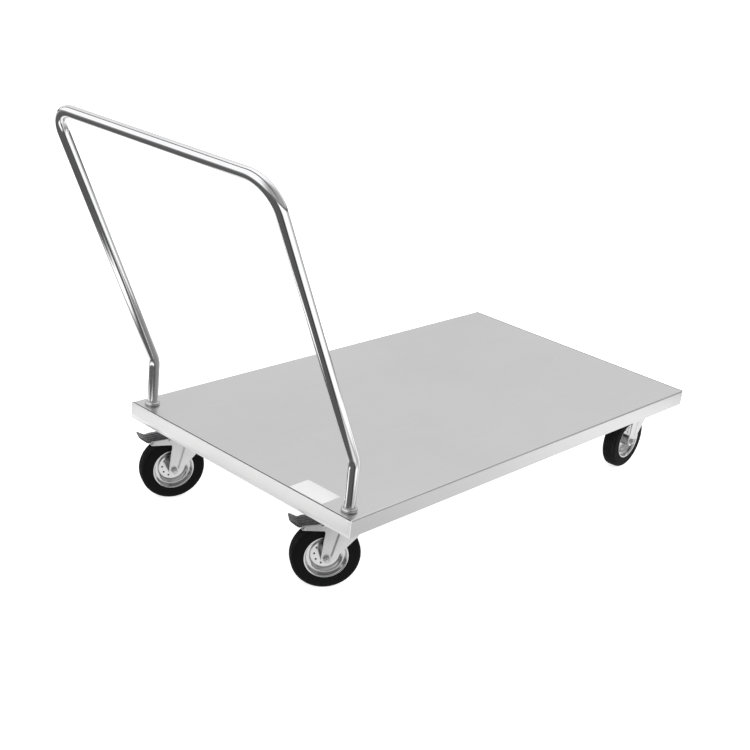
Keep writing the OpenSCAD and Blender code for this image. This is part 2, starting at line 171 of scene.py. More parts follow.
class TrolleyColours(bpy.types.PropertyGroup):
    deck: colour("Deck steel", "Brushed deck sheet", (0.645, 0.64, 0.64))
    frame: colour("Underframe steel", "Channels, ribs and sockets", (0.50, 0.50, 0.51))
    tube: colour("Tube steel", "Polished handle tube", (0.80, 0.80, 0.81))
    zinc: colour("Zinc", "Zinc plated castor sheet", (0.70, 0.70, 0.70))
    rim: colour("Rim steel", "Bright wheel discs", (0.68, 0.68, 0.68))
    fixing: colour("Fixings", "Bolts, nuts and pins", (0.50, 0.50, 0.51))
    bearing: colour("Bearing steel", "Races and hub tubes", (0.42, 0.42, 0.43))
    rubber: colour("Rubber", "Tyres and brake shoes", (0.0045, 0.0045, 0.005))
    pedal: colour("Pedal steel", "Brake pedals", (0.17, 0.17, 0.175))
    label: colour("Label film", "Label beside the handle", (0.98, 0.98, 0.98))
    # Near black strip in the seams: painted shade of the gap between deck sheet and end plate
    seal: colour("Seal", "Seal between deck sheet and end plate", (0.004, 0.004, 0.004))
    floor: colour("Floor", "Studio floor", (0.93, 0.93, 0.93))


# ---------- frame positions ----------

def corners(node):
    """Lowest and highest corner of a frame node, as arrays."""
    low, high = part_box(node)
    return np.array(low), np.array(high)


def wheel_frame(corner):
    """Wheel centre, leading direction and axle direction of one castor, from its joints."""
    roll = JOINTS[f"wheel_{corner}_roll"]
    centre = np.array(roll["pos_m"])
    across = np.array(roll["axis"])
    across = across / np.linalg.norm(across)
    ahead = np.array((across[1], -across[0], 0.0))
    return centre, ahead, across


def in_wheel(corner, ahead, across, up):
    """Points from distances ahead of, across and above a castor's wheel centre."""
    centre, forward, sideways = wheel_frame(corner)
    ahead, across, up = np.broadcast_arrays(ahead, across, up)
    return (centre + ahead[..., None] * forward + across[..., None] * sideways
            + up[..., None] * np.array((0.0, 0.0, 1.0)))


def swivel_point(corner):
    """A point on the swivel axis of one castor."""
    return np.array(JOINTS[f"swivel_{corner}_turn"]["pos_m"])


# ---------- surfaces ----------

def smooth_step(value):
    """0 below 0, 1 above 1, and 3v^2 - 2v^3 between."""
    value = np.clip(value, 0.0, 1.0)
    return value * value * (3.0 - 2.0 * value)


def soften(outline, cut, steps=5):
    """Rounds an outline: each corner becomes a parabola (1-t)^2 A + 2t(1-t) C + t^2 B, whose ends A and B lie
    `cut` away from the corner C along its two sides. A cut of 0 keeps the corner."""
    outline = np.asarray(outline, float)
    cut = np.broadcast_to(np.asarray(cut, float), len(outline))[:, None]
    back = np.roll(outline, 1, axis=0) - outline
    ahead = np.roll(outline, -1, axis=0) - outline
    back_length = np.linalg.norm(back, axis=1, keepdims=True) + 1e-12
    ahead_length = np.linalg.norm(ahead, axis=1, keepdims=True) + 1e-12
    start = outline + back * np.minimum(cut / back_length, 0.49)
    end = outline + ahead * np.minimum(cut / ahead_length, 0.49)
    t = np.linspace(0.0, 1.0, steps)[None, :, None]
    arcs = (1 - t) ** 2 * start[:, None] + 2 * t * (1 - t) * outline[:, None] + t ** 2 * end[:, None]
    return arcs.reshape(-1, 2)


def grid(points, wrap_rows=False, wrap_columns=False, mark=None):
    """One grid of points (rows, columns, 3) with its quads. A wrapped direction joins its last line to its
    first. The mark is one number a point, kept on the mesh for its finish."""
    rows, columns = points.shape[:2]
    row, column = np.meshgrid(np.arange(rows if wrap_rows else rows - 1),
                              np.arange(columns if wrap_columns else columns - 1), indexing="ij")
    next_row = (row + 1) % rows
    next_column = (column + 1) % columns
    quads = np.stack([row * columns + column, next_row * columns + column,
                      next_row * columns + next_column, row * columns + next_column], axis=-1)
    marks = np.zeros((rows, columns)) if mark is None else np.broadcast_to(mark, (rows, columns))
    return points.reshape(-1, 3), quads.reshape(-1, 4), marks.reshape(-1)


def side_axes(axis):
    """Two directions square to an axis and to each other."""
    axis = np.asarray(axis, float) / np.linalg.norm(axis)
    helper = np.array((0.0, 0.0, 1.0)) if abs(axis[2]) < 0.9 else np.array((1.0, 0.0, 0.0))
    first = np.cross(helper, axis)
    first = first / np.linalg.norm(first)
    return axis, first, np.cross(axis, first)


def revolve(outline, centre, axis, around=64, closed=True, mark=None):
    """An outline of (radius, height) turned about an axis: centre + height * axis + radius * spoke, where a
    spoke is (cos a, sin a) in the plane square to the axis."""
    axis, first, second = side_axes(axis)
    outline = np.asarray(outline, float)
    angle = np.linspace(0.0, 2 * np.pi, around, endpoint=False)
    spokes = np.cos(angle)[:, None] * first + np.sin(angle)[:, None] * second
    points = (np.asarray(centre) + outline[:, None, 1:2] * axis + outline[:, None, 0:1] * spokes[None])
    return grid(points, wrap_rows=closed, wrap_columns=True, mark=None if mark is None else mark[:, None])


def hexagon(centre, axis, across, height, around=72):
    """A hexagon head or nut from its seat up the axis. Its radius is half the width across flats over the
    cosine of the angle from the nearest flat, cut by a 30 degree cone at the free end."""
    axis, first, second = side_axes(axis)
    angle = np.linspace(0.0, 2 * np.pi, around, endpoint=False)
    flat = across / 2 / np.cos(np.mod(angle, np.pi / 3) - np.pi / 6)
    share = np.array((0.0, 1.0, 1.0, 1.0, 1.0, 1.0, 1.0, 1.0, 0.0))
    level = np.array((0.0, 0.0, 0.5, 0.75, 0.82, 0.88, 0.94, 1.0, 1.0)) * height
    cone = across / 2 * 0.95 + (height - level) / math.tan(math.radians(30))
    radius = np.minimum(share[:, None] * flat[None], cone[:, None])
    spokes = np.cos(angle)[:, None] * first + np.sin(angle)[:, None] * second
    points = np.asarray(centre) + level[:, None, None] * axis + radius[..., None] * spokes[None]
    return grid(points, wrap_columns=True)


def shank(start, axis, radius, reach):
    """A bolt's shank: a rod with its far edge rounded off and threads as 1.25 mm waves near that end."""
    level = np.linspace(0.0, reach - radius * 0.25, 121)
    thread = smooth_step((level - (reach - 0.012)) / 0.002) * 0.00018
    wave = radius - thread * (1 - np.cos(level * 2 * np.pi / 0.00125))
    rim = np.array(((radius * 0.8, reach), (0.0, reach)))
    outline = np.vstack([[0.0, 0.0], np.stack([wave, level], axis=1), rim])
    return revolve(outline, start, axis, around=32, closed=False)


def tube_along(centres, tangents, normals, radius, around=48):
    """A ring carried along a path: centre + radius * (cos a * (normal x tangent) + sin a * normal)."""
    angle = np.linspace(0.0, 2 * np.pi, around, endpoint=False)
    sideways = np.cross(normals, tangents)
    points = (centres[:, None] + radius * (np.cos(angle)[None, :, None] * sideways[:, None]
                                           + np.sin(angle)[None, :, None] * normals[:, None]))
    return grid(points, wrap_columns=True)


def build(name, surfaces, finish, body, replaces=(), wall=0.0, bevel=0.0, crease=35.0):
    """Makes one piece from grids: merges seams and poles, turns normals outward, then adds wall and edge
    radius."""
    counts = np.cumsum([0] + [len(points) for points, quads, marks in surfaces])
    points = np.vstack([surface[0] for surface in surfaces])
    quads = np.vstack([surface[1] + start for surface, start in zip(surfaces, counts)])
    marks = np.concatenate([surface[2] for surface in surfaces])
    mesh = bpy.data.meshes.new(name)
    mesh.from_pydata(points.tolist(), [], quads.tolist())
    attribute = mesh.attributes.new("mark", "FLOAT", "POINT")
    attribute.data.foreach_set("value", marks.astype(np.float32))
    soft = bmesh.new()
    soft.from_mesh(mesh)
    bmesh.ops.remove_doubles(soft, verts=soft.verts, dist=2e-6)
    bmesh.ops.dissolve_degenerate(soft, edges=soft.edges, dist=1e-7)
    bmesh.ops.recalc_face_normals(soft, faces=soft.faces)
    soft.to_mesh(mesh)
    soft.free()
    mesh.shade_smooth()
    mesh.set_sharp_from_angle(angle=math.radians(crease))
    piece = bpy.data.objects.new(name, mesh)
    bpy.context.scene.collection.objects.link(piece)
    mesh.materials.append(finish)
    if wall:
        solid = piece.modifiers.new("Wall", "SOLIDIFY")
        solid.thickness = wall
        solid.offset = -1.0
        solid.use_even_offset = True
        solid.use_quality_normals = True
    if bevel:
        edge = piece.modifiers.new("Edge", "BEVEL")
        edge.width = bevel
        edge.segments = 2
        edge.limit_method = "ANGLE"
        edge.angle_limit = math.radians(50)
        edge.harden_normals = True
    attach(piece, body)
    if replaces:
        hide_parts(*replaces)
    return piece


# ---------- finishes ----------

class Term:
    """A shader value. Arithmetic on it adds Math nodes."""

    def __init__(self, finish, socket):
        self.finish = finish
        self.socket = socket

    def apply(self, operation, first, second):
        return self.finish.node("ShaderNodeMath", {"operation": operation}, {0: first, 1: second})

    def __add__(self, other):
        return self.apply("ADD", self, other)

    def __radd__(self, other):
        return self.apply("ADD", other, self)

    def __mul__(self, other):
        return self.apply("MULTIPLY", self, other)


class Finish:
    """One procedural material: a Principled shader and the nodes that vary it."""

    def __init__(self, name, **constants):
        self.material = bpy.data.materials.new(name)
        self.material.use_nodes = True
        self.tree = self.material.node_tree
        self.tree.nodes.clear()
        output = self.tree.nodes.new("ShaderNodeOutputMaterial")
        self.shader = self.tree.nodes.new("ShaderNodeBsdfPrincipled")
        self.tree.links.new(self.shader.outputs[0], output.inputs["Surface"])
        for socket, value in constants.items():
            self.set(socket.replace("_", " "), value)
        self.place = self.node("ShaderNodeTexCoord", {}, {}, "Object")

    def node(self, kind, settings, values, output=0):
        """Adds a node: settings first, then values or links by socket. Returns one output."""
        made = self.tree.nodes.new(kind)
        for setting, value in settings.items():
            setattr(made, setting, value)
        for socket, value in values.items():
            self.feed(made.inputs[socket], value)
        return Term(self, made.outputs[output])

    def feed(self, socket, value):
        if isinstance(value, Term):
            self.tree.links.new(value.socket, socket)
        elif isinstance(value, (int, float)) and socket.type in {"RGBA", "VECTOR"}:
            socket.default_value = [value] * len(socket.default_value)
        else:
            socket.default_value = value

    def set(self, socket, value):
        """Feeds one socket of the shader."""
        self.feed(self.shader.inputs[socket], value)

    def stretched(self, scale, turn=(0.0, 0.0, 0.0)):
        """Object coordinates, scaled along each axis."""
        return self.node("ShaderNodeMapping", {}, {"Vector": self.place, "Scale": scale, "Rotation": turn})

    def noise(self, vector, scale, detail=3.0, rough=0.5):
        """Noise from 0 to 1."""
        return self.node("ShaderNodeTexNoise", {}, {"Vector": vector, "Scale": scale, "Detail": detail,
                                                    "Roughness": rough})

    def band(self, value, low, high, out_low=0.0, out_high=1.0):
        """Maps low..high to out_low..out_high, smoothly and clamped."""
        return self.node("ShaderNodeMapRange", {"interpolation_type": "SMOOTHSTEP"},
                         {"Value": value, "From Min": low, "From Max": high, "To Min": out_low,
                          "To Max": out_high})

    def blend(self, factor, first, second):
        """Mixes two colours."""
        return self.node("ShaderNodeMix", {"data_type": "RGBA"}, {0: factor, 6: opaque(first),
                                                                 7: opaque(second)}, 2)

    def bump(self, height, strength, distance):
        """Feeds a height to the shader's normal."""
        self.set("Normal", self.node("ShaderNodeBump", {}, {"Height": height, "Strength": strength,
                                                           "Distance": distance}))

    def mark(self):
        """The number that the mesh keeps at each point."""
        return self.node("ShaderNodeAttribute", {"attribute_name": "mark"}, {}, "Fac")


def opaque(value):
    """A colour with its alpha, or a shader value as it is."""
    return value if isinstance(value, Term) else (*value[:3], 1.0)


def shaded(value, factor):
    """A colour made lighter or darker."""
    return tuple(min(channel * factor, 1.0) for channel in value)


def brushed_finish(name, tone, rough, grain_turn=(0.0, 0.0, 0.0), metal=1.0):
    """Brushed sheet: fine scratches along one axis, slow clouds of gloss and a few faint handling marks."""
    finish = Finish(name, Metallic=metal)
    lines = finish.noise(finish.stretched((2.0, 420.0, 420.0), grain_turn), 3.0, 4.0, 0.65)
    cloud = finish.noise(finish.place, 2.2, 4.0, 0.55)
    smear = finish.noise(finish.stretched((9.0, 26.0, 26.0), grain_turn), 1.0, 5.0, 0.6)
    marks = finish.band(smear, 0.62, 0.74)
    shade = finish.band(lines * 0.55 + cloud * 0.45, 0.30, 0.70)
    finish.set("Base Color", finish.blend(shade, shaded(tone, 0.95), shaded(tone, 1.05)))
    finish.set("Roughness", rough - 0.05 + lines * 0.07 + cloud * 0.05 + marks * 0.04)
    finish.bump(lines * 0.8 + cloud * 0.2, 0.10, 0.0004)
    return finish.material


def polished_finish(name, tone, rough):
    """Polished steel: near mirror, with a cloudy film, fine buffing lines and small pits."""
    finish = Finish(name, Metallic=1.0)
    cloud = finish.noise(finish.place, 14.0, 4.0, 0.55)
    lines = finish.noise(finish.stretched((500.0, 500.0, 6.0)), 1.0, 3.0, 0.6)
    pits = finish.band(finish.noise(finish.place, 900.0, 2.0, 0.5), 0.68, 0.80)
    finish.set("Base Color", finish.blend(cloud, shaded(tone, 0.95), shaded(tone, 1.04)))
    finish.set("Roughness", rough - 0.03 + cloud * 0.05 + lines * 0.04 + pits * 0.08)
    finish.bump(lines * 0.5 + cloud * 0.5, 0.04, 0.0003)
    return finish.material


def zinc_finish(name, tone, rough):
    """Zinc plate: satin metal with crystal clouds, fine random scratches and duller spots."""
    finish = Finish(name, Metallic=0.92)
    cloud = finish.noise(finish.place, 45.0, 5.0, 0.6)
    cells = finish.node("ShaderNodeTexVoronoi", {"feature": "F1"}, {"Vector": finish.place, "Scale": 260.0},
                        "Distance")
    scratch = finish.noise(finish.stretched((60.0, 900.0, 900.0), (0.4, 0.7, 0.3)), 1.0, 3.0, 0.6)
    scrape = finish.noise(finish.stretched((900.0, 70.0, 900.0), (0.2, 0.1, 0.9)), 1.0, 3.0, 0.6)
    worn = finish.band(scratch * 0.5 + scrape * 0.5, 0.56, 0.66)
    shade = finish.band(cloud * 0.7 + cells * 0.3, 0.28, 0.66)
    finish.set("Base Color", finish.blend(shade, shaded(tone, 0.95), shaded(tone, 1.03)))
    finish.set("Roughness", rough - 0.03 + cloud * 0.08 + worn * 0.05)
    finish.bump(cells * 0.35 + cloud * 0.35 + worn * 0.3, 0.05, 0.0003)
    return finish.material


def rim_finish(name, tone, hole_shade):
    """Bright pressed steel with clouds of gloss and a fine grain. The mark is 1 inside the small holes, which
    are shallow dimples painted near black: painted shade standing in for holes cut through.
    """
    finish = Finish(name, Metallic=1.0)
    cloud = finish.noise(finish.place, 38.0, 4.0, 0.6)
    fine = finish.noise(finish.place, 700.0, 2.0, 0.5)
    # Painted shade: near black inside the small holes
    hole_shade_mask = finish.band(finish.mark(), 0.25, 0.75)
    metal = finish.blend(cloud, shaded(tone, 0.90), shaded(tone, 1.06))
    finish.set("Base Color", finish.blend(hole_shade_mask, metal, hole_shade))
    finish.set("Roughness", 0.11 + cloud * 0.10 + fine * 0.04 + hole_shade_mask * 0.5)
    finish.bump(cloud * 0.6 + fine * 0.4, 0.08, 0.0004)
    return finish.material


def rubber_finish(name, tone, dust):
    """Black rubber: fine moulding grain, and pale dust where the mark says that it touches the floor."""
    finish = Finish(name, Metallic=0.0, IOR=1.18, Specular_IOR_Level=0.4)
    grain = finish.noise(finish.place, 900.0, 3.0, 0.6)
    cloud = finish.noise(finish.place, 42.0, 5.0, 0.65)
    touch = finish.mark()
    dusty = finish.band(cloud * 0.8 + touch * 0.32, 0.52, 0.86)
    finish.set("Base Color", finish.blend(dusty, tone, dust))
    finish.set("Roughness", 0.52 + cloud * 0.16 + touch * 0.10)
    finish.bump(grain * 0.6 + cloud * 0.4, 0.22, 0.0005)
    return finish.material


def label_finish(name, tone):
    """Label film: even white with a faint fibre and a yellowed edge."""
    finish = Finish(name, Metallic=0.0)
    fibre = finish.noise(finish.place, 520.0, 3.0, 0.6)
    cloud = finish.noise(finish.place, 18.0, 3.0, 0.5)
    edge = finish.mark()
    paper = finish.blend(cloud, shaded(tone, 0.97), shaded(tone, 1.02))
    yellowed = (tone[0] * 0.92, tone[1] * 0.91, tone[2] * 0.86)
    finish.set("Base Color", finish.blend(edge * 0.3, paper, yellowed))
    finish.set("Roughness", 0.40 + fibre * 0.12)
    finish.bump(fibre, 0.06, 0.0002)
    return finish.material


def finish_named(name):
    """A finish that is already made, or makes it."""
    title = f"finish_{name}"
    if title in bpy.data.materials:
        return bpy.data.materials[title]
    tone = bpy.context.scene.trolley_colours
    across_deck = (0.0, 0.0, math.pi / 2)
    makers = {
        "brushed_deck": (brushed_finish, tone.deck, 0.30),
        # End plates: the deck's own steel with its tone painted 1.38 times lighter, painted light for the
        # brighter light on their upright faces; half metal so that they take some even light as well
        "brushed_plate": (brushed_finish, shaded(tone.deck, 1.38), 0.34, across_deck, 0.5),
        "mill_frame": (brushed_finish, tone.frame, 0.42),
        "polished_tube": (polished_finish, tone.tube, 0.11),
        "polished_collar": (polished_finish, shaded(tone.tube, 0.72), 0.06),
        "zinc_sheet": (zinc_finish, tone.zinc, 0.36),
        "zinc_fixing": (zinc_finish, tone.fixing, 0.18),
        "bearing_steel": (polished_finish, tone.bearing, 0.28),
        # Near black inside the disc's small holes: painted shade, as if they went through
        "bright_rim": (rim_finish, tone.rim, (0.01, 0.01, 0.01)),
        "tyre_rubber": (rubber_finish, tone.rubber, (0.014, 0.0135, 0.013)),
        "shoe_rubber": (rubber_finish, tone.rubber, (0.02, 0.02, 0.02)),
        "pedal_steel": (zinc_finish, tone.pedal, 0.26),
        "label_film": (label_finish, tone.label),
        # Near black strip in the seams: painted shade of the gaps there
        "seal_rubber": (rubber_finish, tone.seal, (0.006, 0.006, 0.006)),
    }
    maker, *values = makers[name]
    return maker(title, *values)


# ---------- pieces ----------

class PieceOperator(bpy.types.Operator):
    """Base of the operators that make pieces."""
    bl_options = {"REGISTER", "UNDO"}


class TROLLEY_OT_handle(PieceOperator):
    """Makes the handle tube: feet, knees, leaning legs, corner bends and push bar in one bent tube"""
    bl_idname = "trolley.handle"
    bl_label = "Handle Tube"

    def execute(self, context):
        sizes = context.scene.trolley_sizes
        low, high = corners("handle")
        foot_low, foot_high = corners("collar_right")
        foot = (foot_low + foot_high) / 2
        radius = foot[1] - low[1]
        bar_x = low[0] + radius
        bar_z = high[2] - radius
        lean = sizes.lean
        reach = (foot[0] - bar_x) / math.sin(lean)
        knee_z = bar_z - reach * math.cos(lean)
        knee_cut = sizes.knee_radius * math.tan(lean / 2)
        straight = reach - sizes.corner_radius
        turn = np.linspace(0.0, lean, 17)
        bend = np.linspace(0.0, np.pi / 2, 25)

        rise = np.linspace(low[2], knee_z - knee_cut, 6)[:-1]
        knee = np.stack([foot[0] - sizes.knee_radius * (1 - np.cos(turn)),
                         knee_z - knee_cut + sizes.knee_radius * np.sin(turn)], axis=1)
        along = np.linspace(knee_cut, straight, 9)[1:-1]
        around = straight + sizes.corner_radius * np.sin(bend)
        inward = sizes.corner_radius * (1 - np.cos(bend))
        half_bar = np.linspace(foot[1] + sizes.corner_radius, 0.0, 7)[1:]

        def leaning(distance):
            return foot[0] - distance * math.sin(lean), knee_z + distance * math.cos(lean)

        leg_x, leg_z = leaning(along)
        bend_x, bend_z = leaning(around)
        bar_line = np.full_like(half_bar, bar_x)
        bar_level = np.full_like(half_bar, bar_z)
        x = np.concatenate([np.full_like(rise, foot[0]), knee[:, 0], leg_x, bend_x, bar_line])
        z = np.concatenate([rise, knee[:, 1], leg_z, bend_z, bar_level])
        in_leg = len(rise) + len(knee) + len(along)
        past_knee = len(along) + len(bend) + len(half_bar)
        y = np.concatenate([np.full(in_leg, foot[1]), foot[1] + inward, half_bar])
        tilt = np.concatenate([np.zeros_like(rise), turn, np.full(past_knee, lean)])
        yaw = np.concatenate([np.zeros(in_leg), bend, np.full(len(half_bar), np.pi / 2)])
        half = np.stack([x, y, z], axis=1)
        climb = np.stack([-np.sin(tilt), np.zeros_like(tilt), np.cos(tilt)], axis=1)
        tangent = np.cos(yaw)[:, None] * climb + np.sin(yaw)[:, None] * np.array((0.0, 1.0, 0.0))
        normal = np.stack([np.cos(tilt), np.zeros_like(tilt), np.sin(tilt)], axis=1)
        mirror = np.array((1.0, -1.0, 1.0))
        centres = np.vstack([half, (half * mirror)[-2::-1]])
        tangents = np.vstack([tangent, (-tangent * mirror)[-2::-1]])
        normals = np.vstack([normal, normal[-2::-1]])
        tube = tube_along(centres, tangents, normals, radius)
        build("handle_tube", [tube], finish_named("polished_tube"), "chassis", ("handle",),
              wall=sizes.tube_wall)
        return {"FINISHED"}


class TROLLEY_OT_collars(PieceOperator):
    """Makes the two collars at the handle's feet, as beads with a small flat foot"""
    bl_idname = "trolley.collars"
    bl_label = "Collars"

    def execute(self, context):
        handle_high = corners("handle")[1]
        for side in LEGS:
            low, high = corners(f"collar_{side}")
            centre = (low + high) / 2
            outer = (high[0] - low[0]) / 2
            height = high[2] - low[2]
            inner = handle_high[1] - abs(centre[1]) + 0.0001
            section = np.array((
                (inner, 0.0, 0.0001),
                (outer - 0.0016, 0.0, 0.0006),
                (outer, height * 0.3, 0.0018),
                (outer, height * 0.62, 0.0022),
                (outer - 0.0026, height, 0.0018),
                (inner, height, 0.0006),
            ))
            outline = soften(section[:, :2], section[:, 2], 8)
            ring = revolve(outline, (centre[0], centre[1], low[2]), (0, 0, 1), around=96)
            build(f"collar_bead_{side}", [ring], finish_named("polished_collar"), "chassis",
                  (f"collar_{side}",), crease=60.0)
        return {"FINISHED"}


class TROLLEY_OT_end_plates(PieceOperator):
    """Makes the end plates with rounded corners and top edge, their ledges, and near black strips in the
    seams as painted shade of the gaps there
    """
    bl_idname = "trolley.end_plates"
    bl_label = "End Plates"

    def execute(self, context):
        sizes = context.scene.trolley_sizes
        deck_low, deck_high = corners("deck_pan")
        for end, sign in (("rear", -1.0), ("front", 1.0)):
            low, high = corners(f"end_plate_{end}")
            face = low[0] if sign < 0 else high[0]
            ledge_end = high[0] if sign < 0 else low[0]
            sheet_end = deck_low[0] if sign < 0 else deck_high[0]
            inner = face - sign * sizes.plate_sheet
            plate = self.plate(sizes, low, high, face, sheet_end, sign)
            # The plates' finish is the deck's steel painted lighter: painted light
            build(f"end_sheet_{end}", [plate], finish_named("brushed_plate"), "chassis",
                  (f"end_plate_{end}",), wall=sizes.plate_sheet, crease=60.0)
            shelf_top = high[2] - DECK_SHEET
            shelf_bottom = shelf_top - LEDGE_SHEET
            shelf_half = high[1] - sizes.fold_radius
            shelf = soften([(inner, shelf_bottom), (ledge_end, shelf_bottom), (ledge_end, shelf_top),
                            (inner, shelf_top)], 0.0002, 3)
            ledge = self.rail(shelf, -shelf_half, shelf_half)
            build(f"end_ledge_{end}", [ledge], finish_named("mill_frame"), "chassis")
            # A near black bead in the seam: painted shade of the gap between deck sheet and end plate
            bead = self.seal(sizes, deck_high, inner, sheet_end)
            build(f"seal_{end}", [bead], finish_named("seal_rubber"), "chassis")
        return {"FINISHED"}

    def plate(self, sizes, low, high, face, sheet_end, sign):
        """A path round the deck's end (side, rounded corner, face, rounded corner, side) times a height line
        whose top turns inward on a small radius."""
        radius = sizes.plate_corner
        path = soften([(sheet_end, low[1]), (face, low[1]), (face, high[1]), (sheet_end, high[1])],
                      [0.0, radius, radius, 0.0], 9)
        top = sizes.edge_radius
        turn = np.linspace(0.0, np.pi / 2, 6)
        flat = np.linspace(low[2], high[2] - top, 5)[:-1]
        level = np.concatenate([flat, high[2] - top + top * np.sin(turn)])
        inset = np.concatenate([np.zeros_like(flat), top * (1 - np.cos(turn))])
        inward = np.stack([np.full(len(path), -sign), -np.sign(path[:, 1])], axis=1)
        on_side = np.abs(path[:, 0] - face) > radius
        on_face = np.abs(np.abs(path[:, 1]) - high[1]) > radius
        inward = inward * np.stack([~on_side, ~on_face], axis=1)
        plan = path[:, None, :] + inset[None, :, None] * inward[:, None, :]
        height = np.broadcast_to(level[None, :, None], (len(path), len(level), 1))
        return grid(np.concatenate([plan, height], axis=2))

    def rail(self, outline, start, end):
        """An outline in the XZ plane carried along Y, closed by shrinking its ends to their middle."""
        rows = np.array((start, start, end, end))
        share = np.array((0.0, 1.0, 1.0, 0.0))
        middle = outline.mean(axis=0)
        flat = middle + share[:, None, None] * (outline - middle)[None]
        along = np.broadcast_to(rows[:, None], flat.shape[:2])
        points = np.stack([flat[..., 0], along, flat[..., 1]], axis=-1)
        return grid(points, wrap_columns=True)

    def seal(self, sizes, deck_high, inner, sheet_end):
        """A near black bead that lies in the seam as painted shade of the gap there. Its crown is half an
        ellipse that stands 0.2 mm proud of the deck.
        """
        turn = np.linspace(0.0, np.pi, 11)
        middle = (inner + sheet_end) / 2
        half = abs(sheet_end - inner) / 2 + sizes.seam_shade_lap
        edge = deck_high[2] - 0.0003
        foot = deck_high[2] - 0.0012
        crown = np.stack([middle + half * np.cos(turn), edge + 0.0005 * np.sin(turn)], axis=1)
        base = np.array(((middle - half * 0.6, foot), (middle + half * 0.6, foot)))
        reach = deck_high[1] - sizes.fold_radius * 0.6
        return self.rail(np.vstack([crown, base]), -reach, reach)


class TROLLEY_OT_label(PieceOperator):
    """Makes the plain label: a film with rounded corners, pressed down along its rim"""
    bl_idname = "trolley.label"
    bl_label = "Label"

    def execute(self, context):
        sizes = context.scene.trolley_sizes
        low, high = corners("label")
        centre = (low + high) / 2
        half = (high - low) / 2
        signs = np.array(((1.0, -1.0), (1.0, 1.0), (-1.0, 1.0), (-1.0, -1.0)))
        rim = soften(signs * half[:2], sizes.label_corner, 9)
        share = np.array((0.0, 0.5, 0.9, 0.97, 1.0))
        level = np.array((0.0, 0.0, 0.0, 0.0, -0.00006)) + high[2]
        flat = share[:, None, None] * rim[None]
        height = np.broadcast_to(level[:, None, None], flat.shape[:2] + (1,))
        points = np.concatenate([flat + centre[:2], height], axis=2)
        film = grid(points, wrap_columns=True, mark=np.array((0.0, 0.0, 0.0, 0.5, 1.0))[:, None])
        build("label_sheet", [film], finish_named("label_film"), "chassis", ("label",),
              wall=high[2] - low[2] - 0.0001)
        return {"FINISHED"}


class TROLLEY_OT_fixings(PieceOperator):
    """Makes the bolts through the handle's feet and the four bolts over each castor plate"""
    bl_idname = "trolley.fixings"
    bl_label = "Fixings"

    def execute(self, context):
        sizes = context.scene.trolley_sizes
        low, high = corners("handle_bolts")
        for side, sign in (("left", 1.0), ("right", -1.0)):
            foot_low, foot_high = corners(f"socket_{side}")
            foot = (foot_low + foot_high) / 2
            radius = (foot_high[1] - foot_low[1]) / 2
            level = (low[2] + high[2]) / 2
            outward = np.array((0.0, sign, 0.0))
            seat = np.array((foot[0], foot[1] + sign * radius, level))
            far = np.array((foot[0], foot[1] - sign * radius, level))
            surfaces = [
                hexagon(seat, outward, M6_FLATS, M6_HEAD),
                hexagon(far, -outward, M6_FLATS, M6_NUT),
                shank(seat, -outward, M6_RADIUS, 2 * radius + M6_END),
            ]
            build(f"handle_bolt_{side}", surfaces, finish_named("zinc_fixing"), "chassis",
                  ("handle_bolts",))
        low, high = corners("castor_bolts")
        for corner in CORNERS:
            axis = swivel_point(corner)
            plate_bottom = low[2] + M8_HEAD
            surfaces = []
            for along in (-0.5, 0.5):
                for across in (-0.5, 0.5):
                    x = axis[0] + along * sizes.bolt_long
                    y = axis[1] + across * sizes.bolt_cross
                    under = np.array((x, y, plate_bottom))
                    top = np.array((x, y, high[2] - M8_END))
                    surfaces.append(hexagon(under, (0, 0, -1), M8_FLATS, M8_HEAD))
                    surfaces.append(hexagon(top, (0, 0, 1), M8_FLATS, M8_NUT))
                    surfaces.append(shank(under, (0, 0, 1), M8_RADIUS, high[2] - plate_bottom))
            build(f"castor_bolts_{corner}", surfaces, finish_named("zinc_fixing"), "chassis",
                  ("castor_bolts",))
        return {"FINISHED"}


